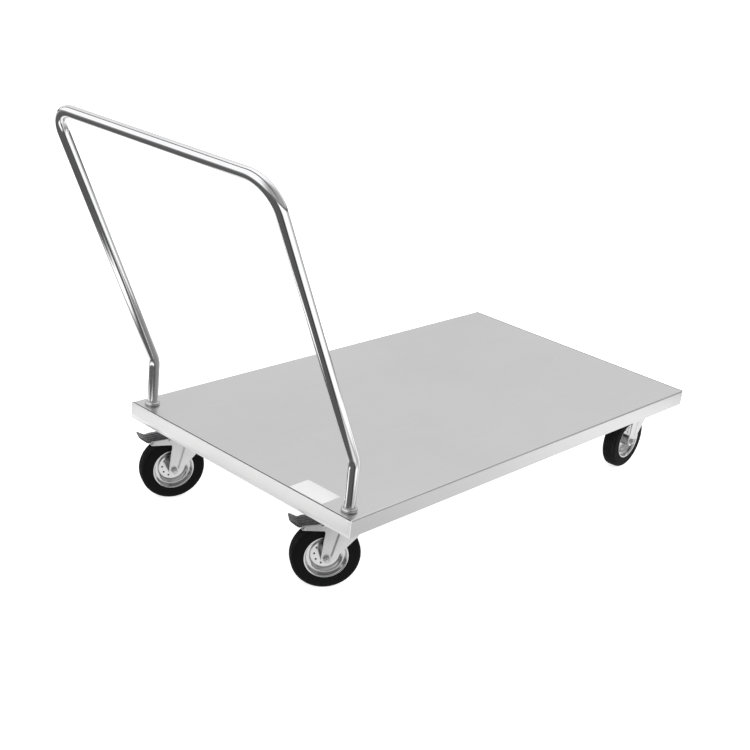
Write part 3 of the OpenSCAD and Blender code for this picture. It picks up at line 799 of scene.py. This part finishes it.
class TROLLEY_OT_tyres(PieceOperator):
    """Makes the tyres: flat sides with moulded rings, round shoulders and four grooves in the tread"""
    bl_idname = "trolley.tyres"
    bl_label = "Tyres"

    def execute(self, context):
        sizes = context.scene.trolley_sizes
        for corner in CORNERS:
            low, high = corners(f"tyre_{corner}")
            centre, _, across = wheel_frame(corner)
            outer = (high[2] - low[2]) / 2
            outline, touch = self.outline(sizes, outer, sizes.tyre_width / 2)
            ring = revolve(outline, centre, across, around=128, mark=touch)
            build(f"tyre_tread_{corner}", [ring], finish_named("tyre_rubber"), f"wheel_{corner}",
                  (f"tyre_{corner}",), crease=50.0)
        return {"FINISHED"}

    def outline(self, sizes, outer, half):
        """Outline of (radius, across) with the floor contact as a mark: a flat side with two rings, a quarter
        circle of the shoulder's radius, then the tread, with four grooves cut square to it."""
        side_radius = np.linspace(sizes.seat_radius + sizes.rim_lip + 0.0009, outer - sizes.shoulder, 34)
        rings = sum(np.exp(-((side_radius - at) / RING_WIDTH) ** 2) for at in RINGS)
        side_across = -half + RING_RISE - rings * RING_RISE
        turn = np.linspace(0.0, np.pi / 2, 48)
        shoulder_radius = outer - sizes.shoulder + sizes.shoulder * np.sin(turn)
        curve = -half + sizes.shoulder * (1 - np.cos(turn))
        shoulder_across = curve + RING_RISE * (1 - smooth_step(turn / 0.5))
        tread_across = np.linspace(-half + sizes.shoulder, 0.0, 40)[1:]
        tread_radius = np.full_like(tread_across, outer)
        radius = np.concatenate([side_radius, shoulder_radius[1:], tread_radius])
        across = np.concatenate([side_across, shoulder_across[1:], tread_across])
        pitch = (2 * half - sizes.shoulder) / 5
        near = np.minimum(np.abs(across + 0.5 * pitch), np.abs(across + 1.5 * pitch))
        cut = 1 - smooth_step((near - sizes.groove_width * 0.32) / (sizes.groove_width * 0.36))
        radius = np.where(radius > outer - 0.004, radius - cut * sizes.groove_depth, radius)
        touch = smooth_step((radius - outer + 0.006) / 0.005)
        seat = sizes.seat_radius
        bead_side = -half + 0.0023
        bead = soften([(seat, 0.0), (seat, bead_side), (seat + sizes.rim_lip + 0.0005, bead_side)],
                      [0.0, 0.0003, 0.0003], 4)
        radius = np.concatenate([bead[:, 0], radius])
        across = np.concatenate([bead[:, 1], across])
        touch = np.concatenate([np.zeros(len(bead)), touch])
        outline = np.stack([radius, across], axis=1)
        mirrored = (outline * np.array((1.0, -1.0)))[-2:0:-1]
        return np.vstack([outline, mirrored]), np.concatenate([touch, touch[-2:0:-1]])


class TROLLEY_OT_wheel_discs(PieceOperator):
    """Makes the pressed wheel discs: flat centre with ten shallow holes painted near black as painted shade,
    stepped dish, deep drop and rolled lip
    """
    bl_idname = "trolley.wheel_discs"
    bl_label = "Wheel Discs"

    def execute(self, context):
        sizes = context.scene.trolley_sizes
        for corner in CORNERS:
            for side, sign in (("left", 1.0), ("right", -1.0)):
                surface = self.surface(sizes, corner, sign)
                build(f"wheel_disc_{side}_{corner}", [surface], finish_named("bright_rim"), f"wheel_{corner}",
                      (f"disc_{side}_{corner}",), crease=70.0)
        return {"FINISHED"}

    def surface(self, sizes, corner, sign):
        """The disc's outline turned about the axle. Near the centre of each of the small holes the front face
        drops into the sheet by a smooth step of the distance to that centre. The same step is the mark, where
        the finish paints near black shade as if the holes went through."""
        seat = sizes.seat_radius
        sheet = sizes.disc_sheet
        half = sizes.tyre_width / 2
        lip = seat + sizes.rim_lip
        flat = np.concatenate([np.linspace(DISC_BORE, 0.0200, 4), np.linspace(0.0204, 0.0256, 14),
                               np.linspace(0.0262, seat - 0.0167, 4)])
        face = np.stack([flat, np.full_like(flat, sheet)], axis=1)
        section = np.array((
            (seat - 0.0165, sheet, 0.0),
            (seat - 0.0150, sheet, 0.0014),
            (seat - 0.0120, 0.0063, 0.0016),
            (seat - 0.0080, 0.0084, 0.0014),
            (seat - 0.0046, 0.0089, 0.0017),
            (seat - 0.0028, half - 0.0044, 0.0020),
            (seat - 0.0015, half - 0.0012, 0.0010),
            (lip, half - 0.0002, 0.0008),
            (lip, half - 0.0022, 0.0006),
            (seat, half - 0.0022, 0.0002),
            (seat, 0.0090, 0.0010),
            (seat - 0.0040, 0.0068, 0.001),
            (seat - 0.0074, 0.0063, 0.001),
            (seat - 0.0110, 0.0044, 0.001),
            (seat - 0.0145, 0.0, 0.001),
            (DISC_BORE, 0.0, 0.0),
        ))
        rise = soften(section[:, :2], section[:, 2], 6)
        outline = np.vstack([face, rise])
        around = 200
        angle = np.linspace(0.0, 2 * np.pi, around, endpoint=False)
        radius = outline[:, 0:1]
        nearest = np.mod(angle[None] + np.pi / 10, np.pi / 5) - np.pi / 10
        gap = np.hypot(radius * np.cos(nearest) - sizes.hole_circle, radius * np.sin(nearest))
        front = (outline[:, 1:2] > sheet * 0.9) & (radius < 0.030)
        # The small holes' mask sinks the face and marks where the finish paints near black painted shade
        hole_shade_mask = np.where(front, 1 - smooth_step((gap - sizes.disc_hole * 0.86) / 0.0005), 0.0)
        height = (outline[:, 1:2] - hole_shade_mask * (sheet - 0.0003)) * sign
        forward = np.cos(angle)[None] * radius
        upward = np.sin(angle)[None] * radius
        return grid(in_wheel(corner, forward, height, upward), wrap_rows=True, wrap_columns=True, mark=hole_shade_mask)


class TROLLEY_OT_forks(PieceOperator):
    """Makes the forks: one sheet folded over the crown into two legs with pressed panels, and brake arms"""
    bl_idname = "trolley.forks"
    bl_label = "Forks"

    def execute(self, context):
        sizes = context.scene.trolley_sizes
        for corner in CORNERS:
            surfaces = [self.sheet(sizes, corner)]
            if corner in BRAKED:
                surfaces = surfaces + [self.arm(sizes, corner, sign) for sign in (-1.0, 1.0)]
            build(f"fork_sheet_{corner}", surfaces, finish_named("zinc_sheet"), f"swivel_{corner}",
                  (f"fork_{corner}",), wall=sizes.fork_sheet, bevel=0.0006, crease=55.0)
            self.dome(sizes, corner)
        return {"FINISHED"}

    def levels(self, sizes):
        """Heights of the leg's grid lines, from the boss to the bend."""
        boss = sizes.boss_radius
        low = -boss * np.cos(np.linspace(0.0, np.pi / 2 + 0.15, 18))
        high = np.linspace(low[-1], ARM_FOOT, 48)[1:]
        rest = np.linspace(ARM_FOOT, sizes.crown_height - sizes.fork_bend, 17)[1:]
        return np.concatenate([low, high, rest])

    def edges(self, sizes, level):
        """Trailing and leading edge of a leg at each height: the boss circle below, straight lines above."""
        boss = sizes.boss_radius
        circle = np.sqrt(np.maximum(boss ** 2 - level ** 2, 0.0))
        back = np.where(level < 0.002, -circle, np.interp(level, [0.002, ARM_FOOT], [-boss, FORK_BACK]))
        slope = np.interp(level, [-0.0076, 0.054, 0.082], [0.0099, sizes.trail + 0.020, sizes.trail + 0.024])
        front = np.where(level < -0.0076, circle, slope)
        return back, front

    def emboss(self, sizes, ahead, level):
        """Height of the pressed panel: a smooth step of the distance inside its five straight sides, which
        falls off towards the leading edge."""
        panel = np.array(((0.022, 0.073), (sizes.trail + 0.022, 0.073), (sizes.trail + 0.019, 0.054),
                          (0.013, -0.003), (0.007, 0.008)))
        after = np.roll(panel, -1, axis=0)
        edge = after - panel
        inward = np.stack([edge[:, 1], -edge[:, 0]], axis=1) / np.linalg.norm(edge, axis=1, keepdims=True)
        offset = ((ahead[..., None] - panel[:, 0]) * inward[:, 0]
                  + (level[..., None] - panel[:, 1]) * inward[:, 1])
        step = smooth_step(offset.min(axis=-1) / sizes.emboss_slope)
        forward = smooth_step(offset[..., 4] / 0.060)
        return sizes.emboss * step * (1 - 0.75 * forward)

    def sheet(self, sizes, corner):
        """Leg, bend, crown, bend and leg as rows of one grid. A row runs from trailing to leading edge."""
        leg_out = sizes.leg_face
        bend = sizes.fork_bend
        top = sizes.crown_height
        level = self.levels(sizes)
        back, front = self.edges(sizes, level)
        turn = np.linspace(0.0, np.pi / 2, 9)[1:]
        across_flat = leg_out - bend
        flat = np.linspace(across_flat, 0.0, 12)[1:]
        bend_out = across_flat + bend * np.cos(turn)
        bend_up = top - bend + bend * np.sin(turn)
        reach = sizes.trail + np.sqrt(sizes.crown_radius ** 2 - np.minimum(bend_out, leg_out) ** 2)
        bend_front = front[-1] + (reach[-1] - front[-1]) * smooth_step(turn / (np.pi / 2))
        flat_front = sizes.trail + np.sqrt(sizes.crown_radius ** 2 - flat ** 2)
        out = np.concatenate([np.full_like(level, leg_out), bend_out, flat])
        up = np.concatenate([level, bend_up, np.full_like(flat, top)])
        row_back = np.concatenate([back, np.full(len(turn) + len(flat), FORK_BACK)])
        row_front = np.concatenate([front, bend_front, flat_front])
        share = np.linspace(0.0, 1.0, 73)
        ahead = row_back[:, None] + (row_front - row_back)[:, None] * share
        rise = self.emboss(sizes, ahead, np.broadcast_to(up[:, None], ahead.shape))
        rise = np.where(np.arange(len(up))[:, None] < len(level), rise, 0.0)
        out = out[:, None] + rise
        up = np.broadcast_to(up[:, None], ahead.shape)
        ahead = np.vstack([ahead, ahead[-2::-1]])
        out = np.vstack([out, -out[-2::-1]])
        up = np.vstack([up, up[-2::-1]])
        return grid(in_wheel(corner, ahead, out, up))

    def arm(self, sizes, corner, sign):
        """Brake arm over the tyre, in the leg's plane: it starts on the leg's trailing edge, has a round
        fillet below and a round tip."""
        leg_out = sizes.leg_face
        tip = np.array(sizes.arm_tip)
        radius = sizes.arm_radius
        level = self.levels(sizes)
        level = level[level >= ARM_FOOT - 0.0001]
        level = np.concatenate([level, np.linspace(level[-1], sizes.crown_height, 5)[1:]])
        fillet_rise = np.sqrt(np.maximum(ARM_FILLET ** 2 - (level - ARM_FOOT) ** 2, 0.0))
        fillet = FORK_BACK - (ARM_FILLET - fillet_rise)
        bottom = tip[1] - radius
        top = tip[1] + radius
        round_tip = tip[0] - np.sqrt(np.maximum(radius ** 2 - (level - tip[1]) ** 2, 0.0))
        sloping = np.interp(level, [top, sizes.crown_height], [tip[0], -0.0085])
        left = np.where(level < bottom - 1e-6, fillet, np.where(level > top, sloping, round_tip))
        share = np.linspace(0.0, 1.0, 25)
        ahead = FORK_BACK + (left - FORK_BACK)[:, None] * share
        return grid(in_wheel(corner, ahead, sign * leg_out, np.broadcast_to(level[:, None], ahead.shape)))

    def dome(self, sizes, corner):
        """The raised seat of the ball race on the crown: a ring with sloping sides and soft edges."""
        race_low = corners(f"race_{corner}")[0]
        centre = swivel_point(corner)
        base = wheel_frame(corner)[0][2] + sizes.crown_height
        rise = race_low[2] - base
        crown = sizes.crown_radius
        section = np.array((
            (crown - 0.0010, -0.0006, 0.0005),
            (crown - 0.0040, 0.0008, 0.0022),
            (crown - 0.0080, rise, 0.0018),
            (0.0062, rise, 0.0003),
            (0.0062, rise - 0.003, 0.0003),
            (crown - 0.0100, rise - 0.003, 0.001),
            (crown - 0.0070, -0.0015, 0.0006),
        ))
        outline = soften(section[:, :2], section[:, 2], 7)
        ring = revolve(outline, (centre[0], centre[1], base), (0, 0, 1), around=96)
        build(f"fork_dome_{corner}", [ring], finish_named("zinc_sheet"), f"swivel_{corner}",
              crease=60.0)


class TROLLEY_OT_axles(PieceOperator):
    """Makes the axle bolts with head and nut, and the bearing sleeves with their shoulders"""
    bl_idname = "trolley.axles"
    bl_label = "Axles"

    def execute(self, context):
        sizes = context.scene.trolley_sizes
        for corner in CORNERS:
            centre, _, across = wheel_frame(corner)
            leg_out = sizes.leg_face
            leg_in = leg_out - sizes.fork_sheet
            head = centre + across * leg_out
            nut = centre - across * leg_out
            end = leg_in - 0.0001
            step = leg_in - 0.0022
            tube_end = leg_in - 0.0024
            sleeve = soften([(SLEEVE_BORE, -end), (SLEEVE_SHOULDER, -end), (SLEEVE_SHOULDER, -step),
                             (SLEEVE_TUBE, -tube_end), (SLEEVE_TUBE, tube_end), (SLEEVE_SHOULDER, step),
                             (SLEEVE_SHOULDER, end), (SLEEVE_BORE, end)], 0.0003, 4)
            surfaces = [
                hexagon(head, across, sizes.axle_nut, M8_HEAD),
                hexagon(nut, -across, sizes.axle_nut, M8_NUT),
                shank(head, -across, M8_RADIUS, 2 * leg_out + M8_END),
                revolve(sleeve, centre, across, 48),
            ]
            build(f"axle_bolt_{corner}", surfaces, finish_named("zinc_fixing"), f"swivel_{corner}",
                  (f"axle_{corner}",))
        return {"FINISHED"}


class TROLLEY_OT_brakes(PieceOperator):
    """Makes the brake pedals, as folded sheets with turned-down sides and pressed beads, and their pins"""
    bl_idname = "trolley.brakes"
    bl_label = "Brakes"

    def execute(self, context):
        sizes = context.scene.trolley_sizes
        for corner in BRAKED:
            build(f"pedal_sheet_{corner}", [self.pedal(sizes, corner)], finish_named("pedal_steel"),
                  f"brake_{corner}", (f"pedal_{corner}",), wall=sizes.pedal_sheet,
                  bevel=0.0004, crease=60.0)
            build(f"pin_pair_{corner}", self.pins(sizes, corner), finish_named("zinc_fixing"),
                  f"swivel_{corner}", (f"brake_pins_{corner}",))
        return {"FINISHED"}

    def pedal(self, sizes, corner):
        """A path of front, rounded fold and toe, carried across the width. The sides turn down on a radius,
        and deepen round the pin; three beads are smooth ridges along the path."""
        front = np.array(sizes.pedal_front)
        fold = np.array(sizes.pedal_fold)
        toe = np.array(sizes.pedal_end)
        t = np.linspace(0.0, 1.0, 12)[:, None]
        first = (fold - front) / np.linalg.norm(fold - front)
        last = (toe - fold) / np.linalg.norm(toe - fold)
        start = fold - first * 0.003
        end = fold + last * 0.003
        round_fold = (1 - t) ** 2 * start + 2 * t * (1 - t) * fold + t ** 2 * end
        run = np.linspace(0.0, 1.0, 40)[:-1, None]
        toe_run = np.linspace(0.1, 1.0, 12)[:, None]
        path = np.vstack([front + (start - front) * run, round_fold, end + (toe - end) * toe_run])
        ahead = path[:, 0]
        level = path[:, 1]
        taper = np.clip((fold[0] - ahead) / (fold[0] - toe[0]), 0.0, 1.0)
        half = sizes.pedal_width / 2 - 0.003 * taper - 0.002 * smooth_step((toe[0] + 0.002 - ahead) / 0.002)
        radius = 0.0028
        turn = np.linspace(0.0, np.pi / 2, 7)
        flat = np.linspace(-1.0, 1.0, 41)
        near_pin = np.exp(-((ahead - sizes.pin_at[0]) / 0.0060) ** 4)
        depth = 0.0020 * smooth_step((ahead - toe[0]) / 0.016) + near_pin * (level - sizes.pin_at[1] - 0.0008)
        middle = (half - radius)[:, None] * flat
        side = (half - radius)[:, None] + radius * np.sin(turn)[None, 1:]
        side_drop = np.broadcast_to(radius * (1 - np.cos(turn))[None, 1:], side.shape)
        wall = np.broadcast_to(half[:, None], (len(half), 4))
        wall_drop = radius + depth[:, None] * np.linspace(0.25, 1.0, 4)
        out = np.hstack([-wall[:, ::-1], -side[:, ::-1], middle, side, wall])
        flat_drop = np.zeros_like(middle)
        drop = np.hstack([wall_drop[:, ::-1], side_drop[:, ::-1], flat_drop, side_drop, wall_drop])
        past_toe = smooth_step((ahead - toe[0] - 0.006) / 0.008)
        past_front = smooth_step((front[0] - 0.010 - ahead) / 0.008)
        along = past_toe * past_front
        ridges = sum(np.exp(-((out - at) / BEAD_WIDTH) ** 2) for at in BEADS)
        height = level[:, None] - drop - BEAD_RISE + BEAD_RISE * along[:, None] * ridges
        ahead = np.broadcast_to(ahead[:, None], out.shape)
        return grid(in_wheel(corner, ahead, out, height))

    def pins(self, sizes, corner):
        """The pedal's pin across both arms and a short rivet in each arm's tip, all with domed heads."""
        across = wheel_frame(corner)[2]
        leg_out = sizes.leg_face
        surfaces = []
        turn = np.linspace(0.0, np.pi / 2, 9)
        dome = np.stack([PIN_HEAD * np.cos(turn), leg_out + 0.0004 + 0.0011 * np.sin(turn)], axis=1)
        for spot, inner in ((sizes.pin_at, 0.0), (sizes.arm_tip, leg_out - sizes.fork_sheet)):
            middle = in_wheel(corner, np.array(spot[0]), np.array(0.0), np.array(spot[1]))
            rod = [(0.0, inner), (PIN_RADIUS, inner), (PIN_RADIUS, leg_out), (PIN_HEAD, leg_out)]
            outline = np.vstack([rod, dome])
            surfaces.append(revolve(outline, middle, across, 32, closed=False))
            surfaces.append(revolve(outline, middle, -across, 32, closed=False))
        return surfaces


class TROLLEY_OT_frame_finishes(PieceOperator):
    """Gives the frame nodes that stay in sight their finishes"""
    bl_idname = "trolley.frame_finishes"
    bl_label = "Frame Finishes"

    def execute(self, context):
        groups = {
            "brushed_deck": ["deck_pan"],
            "mill_frame": ["cross_channel_rear", "cross_channel_front", "rib_left", "rib_right",
                           "socket_left", "socket_right"],
            "zinc_sheet": [f"plate_{corner}" for corner in CORNERS],
            "zinc_fixing": [f"kingpin_{corner}" for corner in CORNERS],
            "bearing_steel": [f"{part}_{corner}" for corner in CORNERS for part in ("race", "hub")],
            "shoe_rubber": [f"brake_shoe_{corner}" for corner in BRAKED],
        }
        for finish, nodes in groups.items():
            for node in nodes:
                mesh = frame["nodes"][node].data
                mesh.materials.clear()
                mesh.materials.append(finish_named(finish))
        return {"FINISHED"}


# ---------- studio ----------

BLACK = (0.0, 0.0, 0.0, 1.0)
HAZE = (0.99, 0.99, 0.99)
WHITE = (1.0, 1.0, 1.0)
# Strength of the world's light
SKY_LIGHT = 0.60
# Radius of the dome that the camera sees, and of the floor and sky that the steel mirrors
DOME_RADIUS = 27.0
MIRROR_RADIUS = 9.0

# Soft lights: name, place, size and power
LAMPS = (
    ("key", (-2.6, -3.4, 4.2), 3.2, 90.0),
    ("fill", (3.8, -2.4, 2.6), 2.6, 30.0),
    ("back", (1.5, 4.2, 3.4), 3.0, 40.0),
)

# Camera: bearing, height and roll in degrees, distances back, right and up from the deck's middle, and lens
CAMERA_ANGLES = (-48.97, 21.34, 6.55)
CAMERA_PLACE = (3.2925, -0.1254, 0.0510)
CAMERA_LENS = 64.536
CAMERA_SENSOR = 36.0

# The mirrored floor. Its places are metres from the deck's middle.
# Brightness of the far floor, by bearing in degrees from +X
FLOOR_BEARING = (-180, -144, -139, -131, -122, -55, -45, -11, -2, 41, 52, 105, 116, 180)
FLOOR_TONE = (0.10, 0.10, 0.03, 0.03, 1.30, 1.30, 0.70, 0.55, 0.06, 0.06, 0.45, 0.45, 0.10, 0.10)
# Pale floor close to the deck: brightness, reach from the deck's edge, where it ends behind the handle end,
# and where it reaches further beside the far end, and by how much
NEAR_TONE = 1.0
NEAR_REACH = 0.38
NEAR_BEHIND = -0.66
FURTHER_FROM = 0.55
FURTHER_REACH = 0.20
# Floor beside the long skirt: where it starts, and two places along it with the brightness at each
SKIRT_FROM = -0.56
SKIRT_REACH = (-0.40, 0.75)
SKIRT_TONE = (0.74, 1.32)
# Dimmer band beyond the long skirt, which the far leg mirrors: its outer edge and greatest brightness
BAND_EDGE = -0.90
BAND_TONE = 0.30
# Bright strip behind the handle, which the handle end's plate mirrors
STRIP_ALONG = (-1.13, -0.90)
STRIP_ACROSS = (-0.14, 0.86)
STRIP_TONE = 1.55
# Pale floor on the far side, which the push bar's underside mirrors: its two near edges
BACK_ALONG = -0.85
BACK_ACROSS = 0.36
BACK_TONE = 1.15

# The mirrored sky: brightness low down, high up and on the near side, and where high up starts in degrees
SKY_TONE = 0.86
SKY_HIGH = 1.20
SKY_SIDE = 0.42
HIGH_FROM = 36.0
# Dark rim at the horizon, up to this many degrees and fading over the next
RIM_DARK = 0.88
RIM_UP_TO = 2.0
RIM_FADE = 8.0
# Dark beam overhead: its slope from upright and half width
BEAM_DARK = 0.97
BEAM_SLOPE = -0.30
BEAM_HALF = 0.15


def between(value, low, high, edge):
    """1 inside low..high and 0 outside, with a smooth edge inside each end."""
    return smooth_step((value - low) / edge) * smooth_step((high - value) / edge)


def sky_directions(rise, columns):
    """Unit directions for each rise angle, all round: (cos u cos b, cos u sin b, sin u)."""
    bearing = np.linspace(-np.pi, np.pi, columns)
    up, around = np.meshgrid(rise, bearing, indexing="ij")
    return np.stack([np.cos(up) * np.cos(around), np.cos(up) * np.sin(around), np.sin(up)], axis=-1)


def hide_from(item, *rays):
    """Hides an object from some kinds of ray."""
    for ray in rays:
        setattr(item, f"visible_{ray}", False)


class TROLLEY_OT_studio(bpy.types.Operator):
    """Makes the pale floor, the soft lights, the screens that the steel reflects, and the camera"""
    bl_idname = "trolley.studio"
    bl_label = "Studio"

    def execute(self, context):
        scene = context.scene
        deck_low, deck_high = corners("deck_pan")
        middle = Vector(((deck_low[0] + deck_high[0]) / 2, 0.0, deck_high[2]))
        self.floor(scene)
        self.horizon(scene, middle)
        self.world(scene)
        for name, place, size, power in LAMPS:
            self.lamp(scene, name, Vector(place), middle, size, power)
        self.mirror_floor(scene, deck_low, deck_high)
        self.mirror_sky(scene, middle)
        self.camera(scene, middle)
        scene.view_settings.view_transform = "Standard"
        scene.view_settings.look = "None"
        return {"FINISHED"}

    def floor(self, scene):
        """A wide flat grid with an even glow, so that it stays pale under the trolley."""
        span = np.linspace(-30.0, 30.0, 13)
        x, y = np.meshgrid(span, span, indexing="ij")
        surface = grid(np.stack([x, y, np.full_like(x, -0.0005)], axis=-1))
        finish = Finish("studio_floor", Metallic=0.0, Roughness=0.9, Emission_Strength=0.75)
        tone = scene.trolley_colours.floor
        cloud = finish.noise(finish.place, 0.8, 2.0, 0.5)
        finish.set("Base Color", finish.blend(cloud, shaded(tone, 0.995), tone))
        finish.set("Emission Color", finish.blend(cloud, HAZE, WHITE))
        floor = self.backdrop(scene, "floor", surface, finish)
        hide_from(floor, "glossy")

    def horizon(self, scene, middle):
        """A wide white dome behind everything, which only the camera sees."""
        directions = sky_directions(np.radians(np.linspace(-2.0, 90.0, 24)), 49)
        finish = Finish("horizon_glow", Base_Color=BLACK, Roughness=1.0, Emission_Strength=1.05)
        cloud = finish.noise(finish.place, 0.1)
        finish.set("Emission Color", finish.blend(cloud, HAZE, WHITE))
        dome = self.backdrop(scene, "horizon", grid(np.array(middle) + DOME_RADIUS * directions), finish)
        hide_from(dome, "diffuse", "glossy", "shadow", "transmission")

    def world(self, scene):
        """A light grey sky that is the same all round."""
        world = bpy.data.worlds.new("studio")
        scene.world = world
        world.use_nodes = True
        background = world.node_tree.nodes["Background"]
        background.inputs["Color"].default_value = opaque(WHITE)
        background.inputs["Strength"].default_value = SKY_LIGHT

    def lamp(self, scene, name, place, target, size, power):
        """A square soft light that faces a point. The steel doesn't mirror it."""
        light = bpy.data.lights.new(name, "AREA")
        light.shape = "SQUARE"
        light.size = size
        light.energy = power
        lamp = bpy.data.objects.new(name, light)
        lamp.location = place
        lamp.rotation_euler = (target - place).to_track_quat("-Z", "Y").to_euler()
        hide_from(lamp, "glossy")
        scene.collection.objects.link(lamp)

    def backdrop(self, scene, name, surface, finish):
        """A stage mesh from one grid, with its marks."""
        points, quads, marks = surface
        mesh = bpy.data.meshes.new(name)
        mesh.from_pydata(points.tolist(), [], quads.tolist())
        attribute = mesh.attributes.new("mark", "FLOAT", "POINT")
        attribute.data.foreach_set("value", marks.astype(np.float32))
        mesh.materials.append(finish.material)
        backdrop = bpy.data.objects.new(name, mesh)
        scene.collection.objects.link(backdrop)
        return backdrop

    def mirrored(self, scene, name, surface):
        """A glowing screen that only reflections show. Its mark is its brightness."""
        finish = Finish(f"{name}_glow", Base_Color=BLACK, Roughness=1.0, Emission_Strength=1.0)
        finish.set("Emission Color", finish.node("ShaderNodeCombineColor", {}, {
            "Red": finish.mark(), "Green": finish.mark(), "Blue": finish.mark()}))
        screen = self.backdrop(scene, name, surface, finish)
        hide_from(screen, "camera", "diffuse", "shadow", "transmission")

    def mirror_floor(self, scene, deck_low, deck_high):
        """The floor as the steel mirrors it. It is pale close to the deck, and further out its brightness
        follows the bearing. A band, a strip and the far side then have their own brightness."""
        reach = np.concatenate([np.linspace(0.0, 3.0, 61), np.linspace(3.2, MIRROR_RADIUS, 12)])
        bearing = np.linspace(-np.pi, np.pi, 181)
        middle = (deck_low + deck_high) / 2
        half = (deck_high - deck_low) / 2
        distance, around = np.meshgrid(reach, bearing, indexing="ij")
        x = distance * np.cos(around)
        y = distance * np.sin(around)
        outside = np.hypot(np.maximum(np.abs(x) - half[0], 0.0), np.maximum(np.abs(y) - half[1], 0.0))
        far = np.interp(np.degrees(around), FLOOR_BEARING, FLOOR_TONE)
        side = smooth_step((-y - half[1]) / 0.08) * smooth_step((x - SKIRT_FROM) / 0.18)
        near_reach = NEAR_REACH + FURTHER_REACH * side * smooth_step((x - FURTHER_FROM) / 0.15)
        edge = smooth_step((outside - near_reach) / 0.09)
        edge = np.maximum(edge, smooth_step((NEAR_BEHIND - x) / 0.06))
        band = smooth_step((y - BAND_EDGE) / 0.08) * smooth_step((-y - half[1]) / 0.05)
        far = far + (np.minimum(far, BAND_TONE) - far) * band
        tone = NEAR_TONE + (np.interp(x, SKIRT_REACH, SKIRT_TONE) - NEAR_TONE) * side
        tone = tone + (far - tone) * edge
        strip = between(x, *STRIP_ALONG, 0.06) * between(y, *STRIP_ACROSS, 0.12)
        tone = tone + (STRIP_TONE - tone) * strip
        back = smooth_step((y - BACK_ACROSS) / 0.06) * smooth_step((x - BACK_ALONG) / 0.07)
        tone = tone + (BACK_TONE - tone) * back
        points = np.stack([middle[0] + x, middle[1] + y, np.full_like(x, -0.001)], axis=-1)
        self.mirrored(scene, "mirror_floor", grid(points, mark=tone))

    def mirror_sky(self, scene, middle):
        """The sky as the steel mirrors it. It is brighter high up and behind the handle, dimmer on the near
        side, and darkest in a rim at the horizon and in one beam overhead."""
        rise = np.concatenate([np.linspace(0.0, 12.0, 9), np.linspace(14.0, 90.0, 77)])
        directions = sky_directions(np.radians(rise), 181)
        east, north, up = np.moveaxis(directions, -1, 0)
        rise = rise[:, None]
        slope = east / np.maximum(up, 0.05)
        beam = smooth_step((BEAM_HALF - np.abs(slope - BEAM_SLOPE)) / 0.05)
        rim = 1 - smooth_step((rise - RIM_UP_TO) / RIM_FADE)
        high = np.maximum(smooth_step((rise - HIGH_FROM) / 14.0), smooth_step((0.02 - east) / 0.15))
        near_side = smooth_step((-0.05 - north) / 0.55)
        tone = SKY_TONE + (SKY_HIGH - SKY_TONE) * high
        tone = tone + (SKY_SIDE - tone) * near_side
        tone = tone * (1 - RIM_DARK * rim) * (1 - BEAM_DARK * beam)
        self.mirrored(scene, "mirror_sky", grid(np.array(middle) + MIRROR_RADIUS * directions, mark=tone))

    def camera(self, scene, middle):
        """The camera's bearing, height, roll and distance from the middle of the deck, and its lens."""
        bearing, height, roll = (math.radians(angle) for angle in CAMERA_ANGLES)
        away, aside, above = CAMERA_PLACE
        level_reach = math.cos(height)
        back = Vector((math.sin(bearing) * level_reach, -math.cos(bearing) * level_reach, math.sin(height)))
        level = Vector((0, 0, 1)).cross(back).normalized()
        upright = back.cross(level)
        right = level * math.cos(roll) + upright * math.sin(roll)
        up = -level * math.sin(roll) + upright * math.cos(roll)
        data = bpy.data.cameras.new("camera")
        data.sensor_width = CAMERA_SENSOR
        data.lens = CAMERA_LENS
        camera = bpy.data.objects.new("camera", data)
        scene.collection.objects.link(camera)
        matrix = Matrix((right, up, back)).transposed().to_4x4()
        matrix.translation = middle + back * away + right * aside + up * above
        camera.matrix_world = matrix
        scene.camera = camera


# ---------- panel ----------

OPERATORS = (
    TROLLEY_OT_handle,
    TROLLEY_OT_collars,
    TROLLEY_OT_end_plates,
    TROLLEY_OT_label,
    TROLLEY_OT_fixings,
    TROLLEY_OT_tyres,
    TROLLEY_OT_wheel_discs,
    TROLLEY_OT_forks,
    TROLLEY_OT_axles,
    TROLLEY_OT_brakes,
    TROLLEY_OT_frame_finishes,
    TROLLEY_OT_studio,
)


class TROLLEY_PT_sidebar(bpy.types.Panel):
    """Sizes, colours and building steps of the trolley"""
    bl_idname = "TROLLEY_PT_sidebar"
    bl_label = "Platform Trolley"
    bl_space_type = "VIEW_3D"
    bl_region_type = "UI"
    bl_category = "Trolley"

    def draw(self, context):
        for group in (context.scene.trolley_sizes, context.scene.trolley_colours):
            box = self.layout.box()
            for name in group.__annotations__:
                box.prop(group, name)
        for operator in OPERATORS:
            self.layout.operator(operator.bl_idname)


CLASSES = (TrolleySizes, TrolleyColours, *OPERATORS, TROLLEY_PT_sidebar)


def register():
    for item in CLASSES:
        bpy.utils.register_class(item)
    bpy.types.Scene.trolley_sizes = PointerProperty(type=TrolleySizes)
    bpy.types.Scene.trolley_colours = PointerProperty(type=TrolleyColours)


def unregister():
    del bpy.types.Scene.trolley_colours
    del bpy.types.Scene.trolley_sizes
    for item in reversed(CLASSES):
        bpy.utils.unregister_class(item)


def main():
    register()
    bpy.ops.trolley.studio()
    bpy.ops.trolley.handle()
    bpy.ops.trolley.collars()
    bpy.ops.trolley.end_plates()
    bpy.ops.trolley.label()
    bpy.ops.trolley.fixings()
    bpy.ops.trolley.tyres()
    bpy.ops.trolley.wheel_discs()
    bpy.ops.trolley.forks()
    bpy.ops.trolley.axles()
    bpy.ops.trolley.brakes()
    bpy.ops.trolley.frame_finishes()


if __name__ == "__main__":
    main()
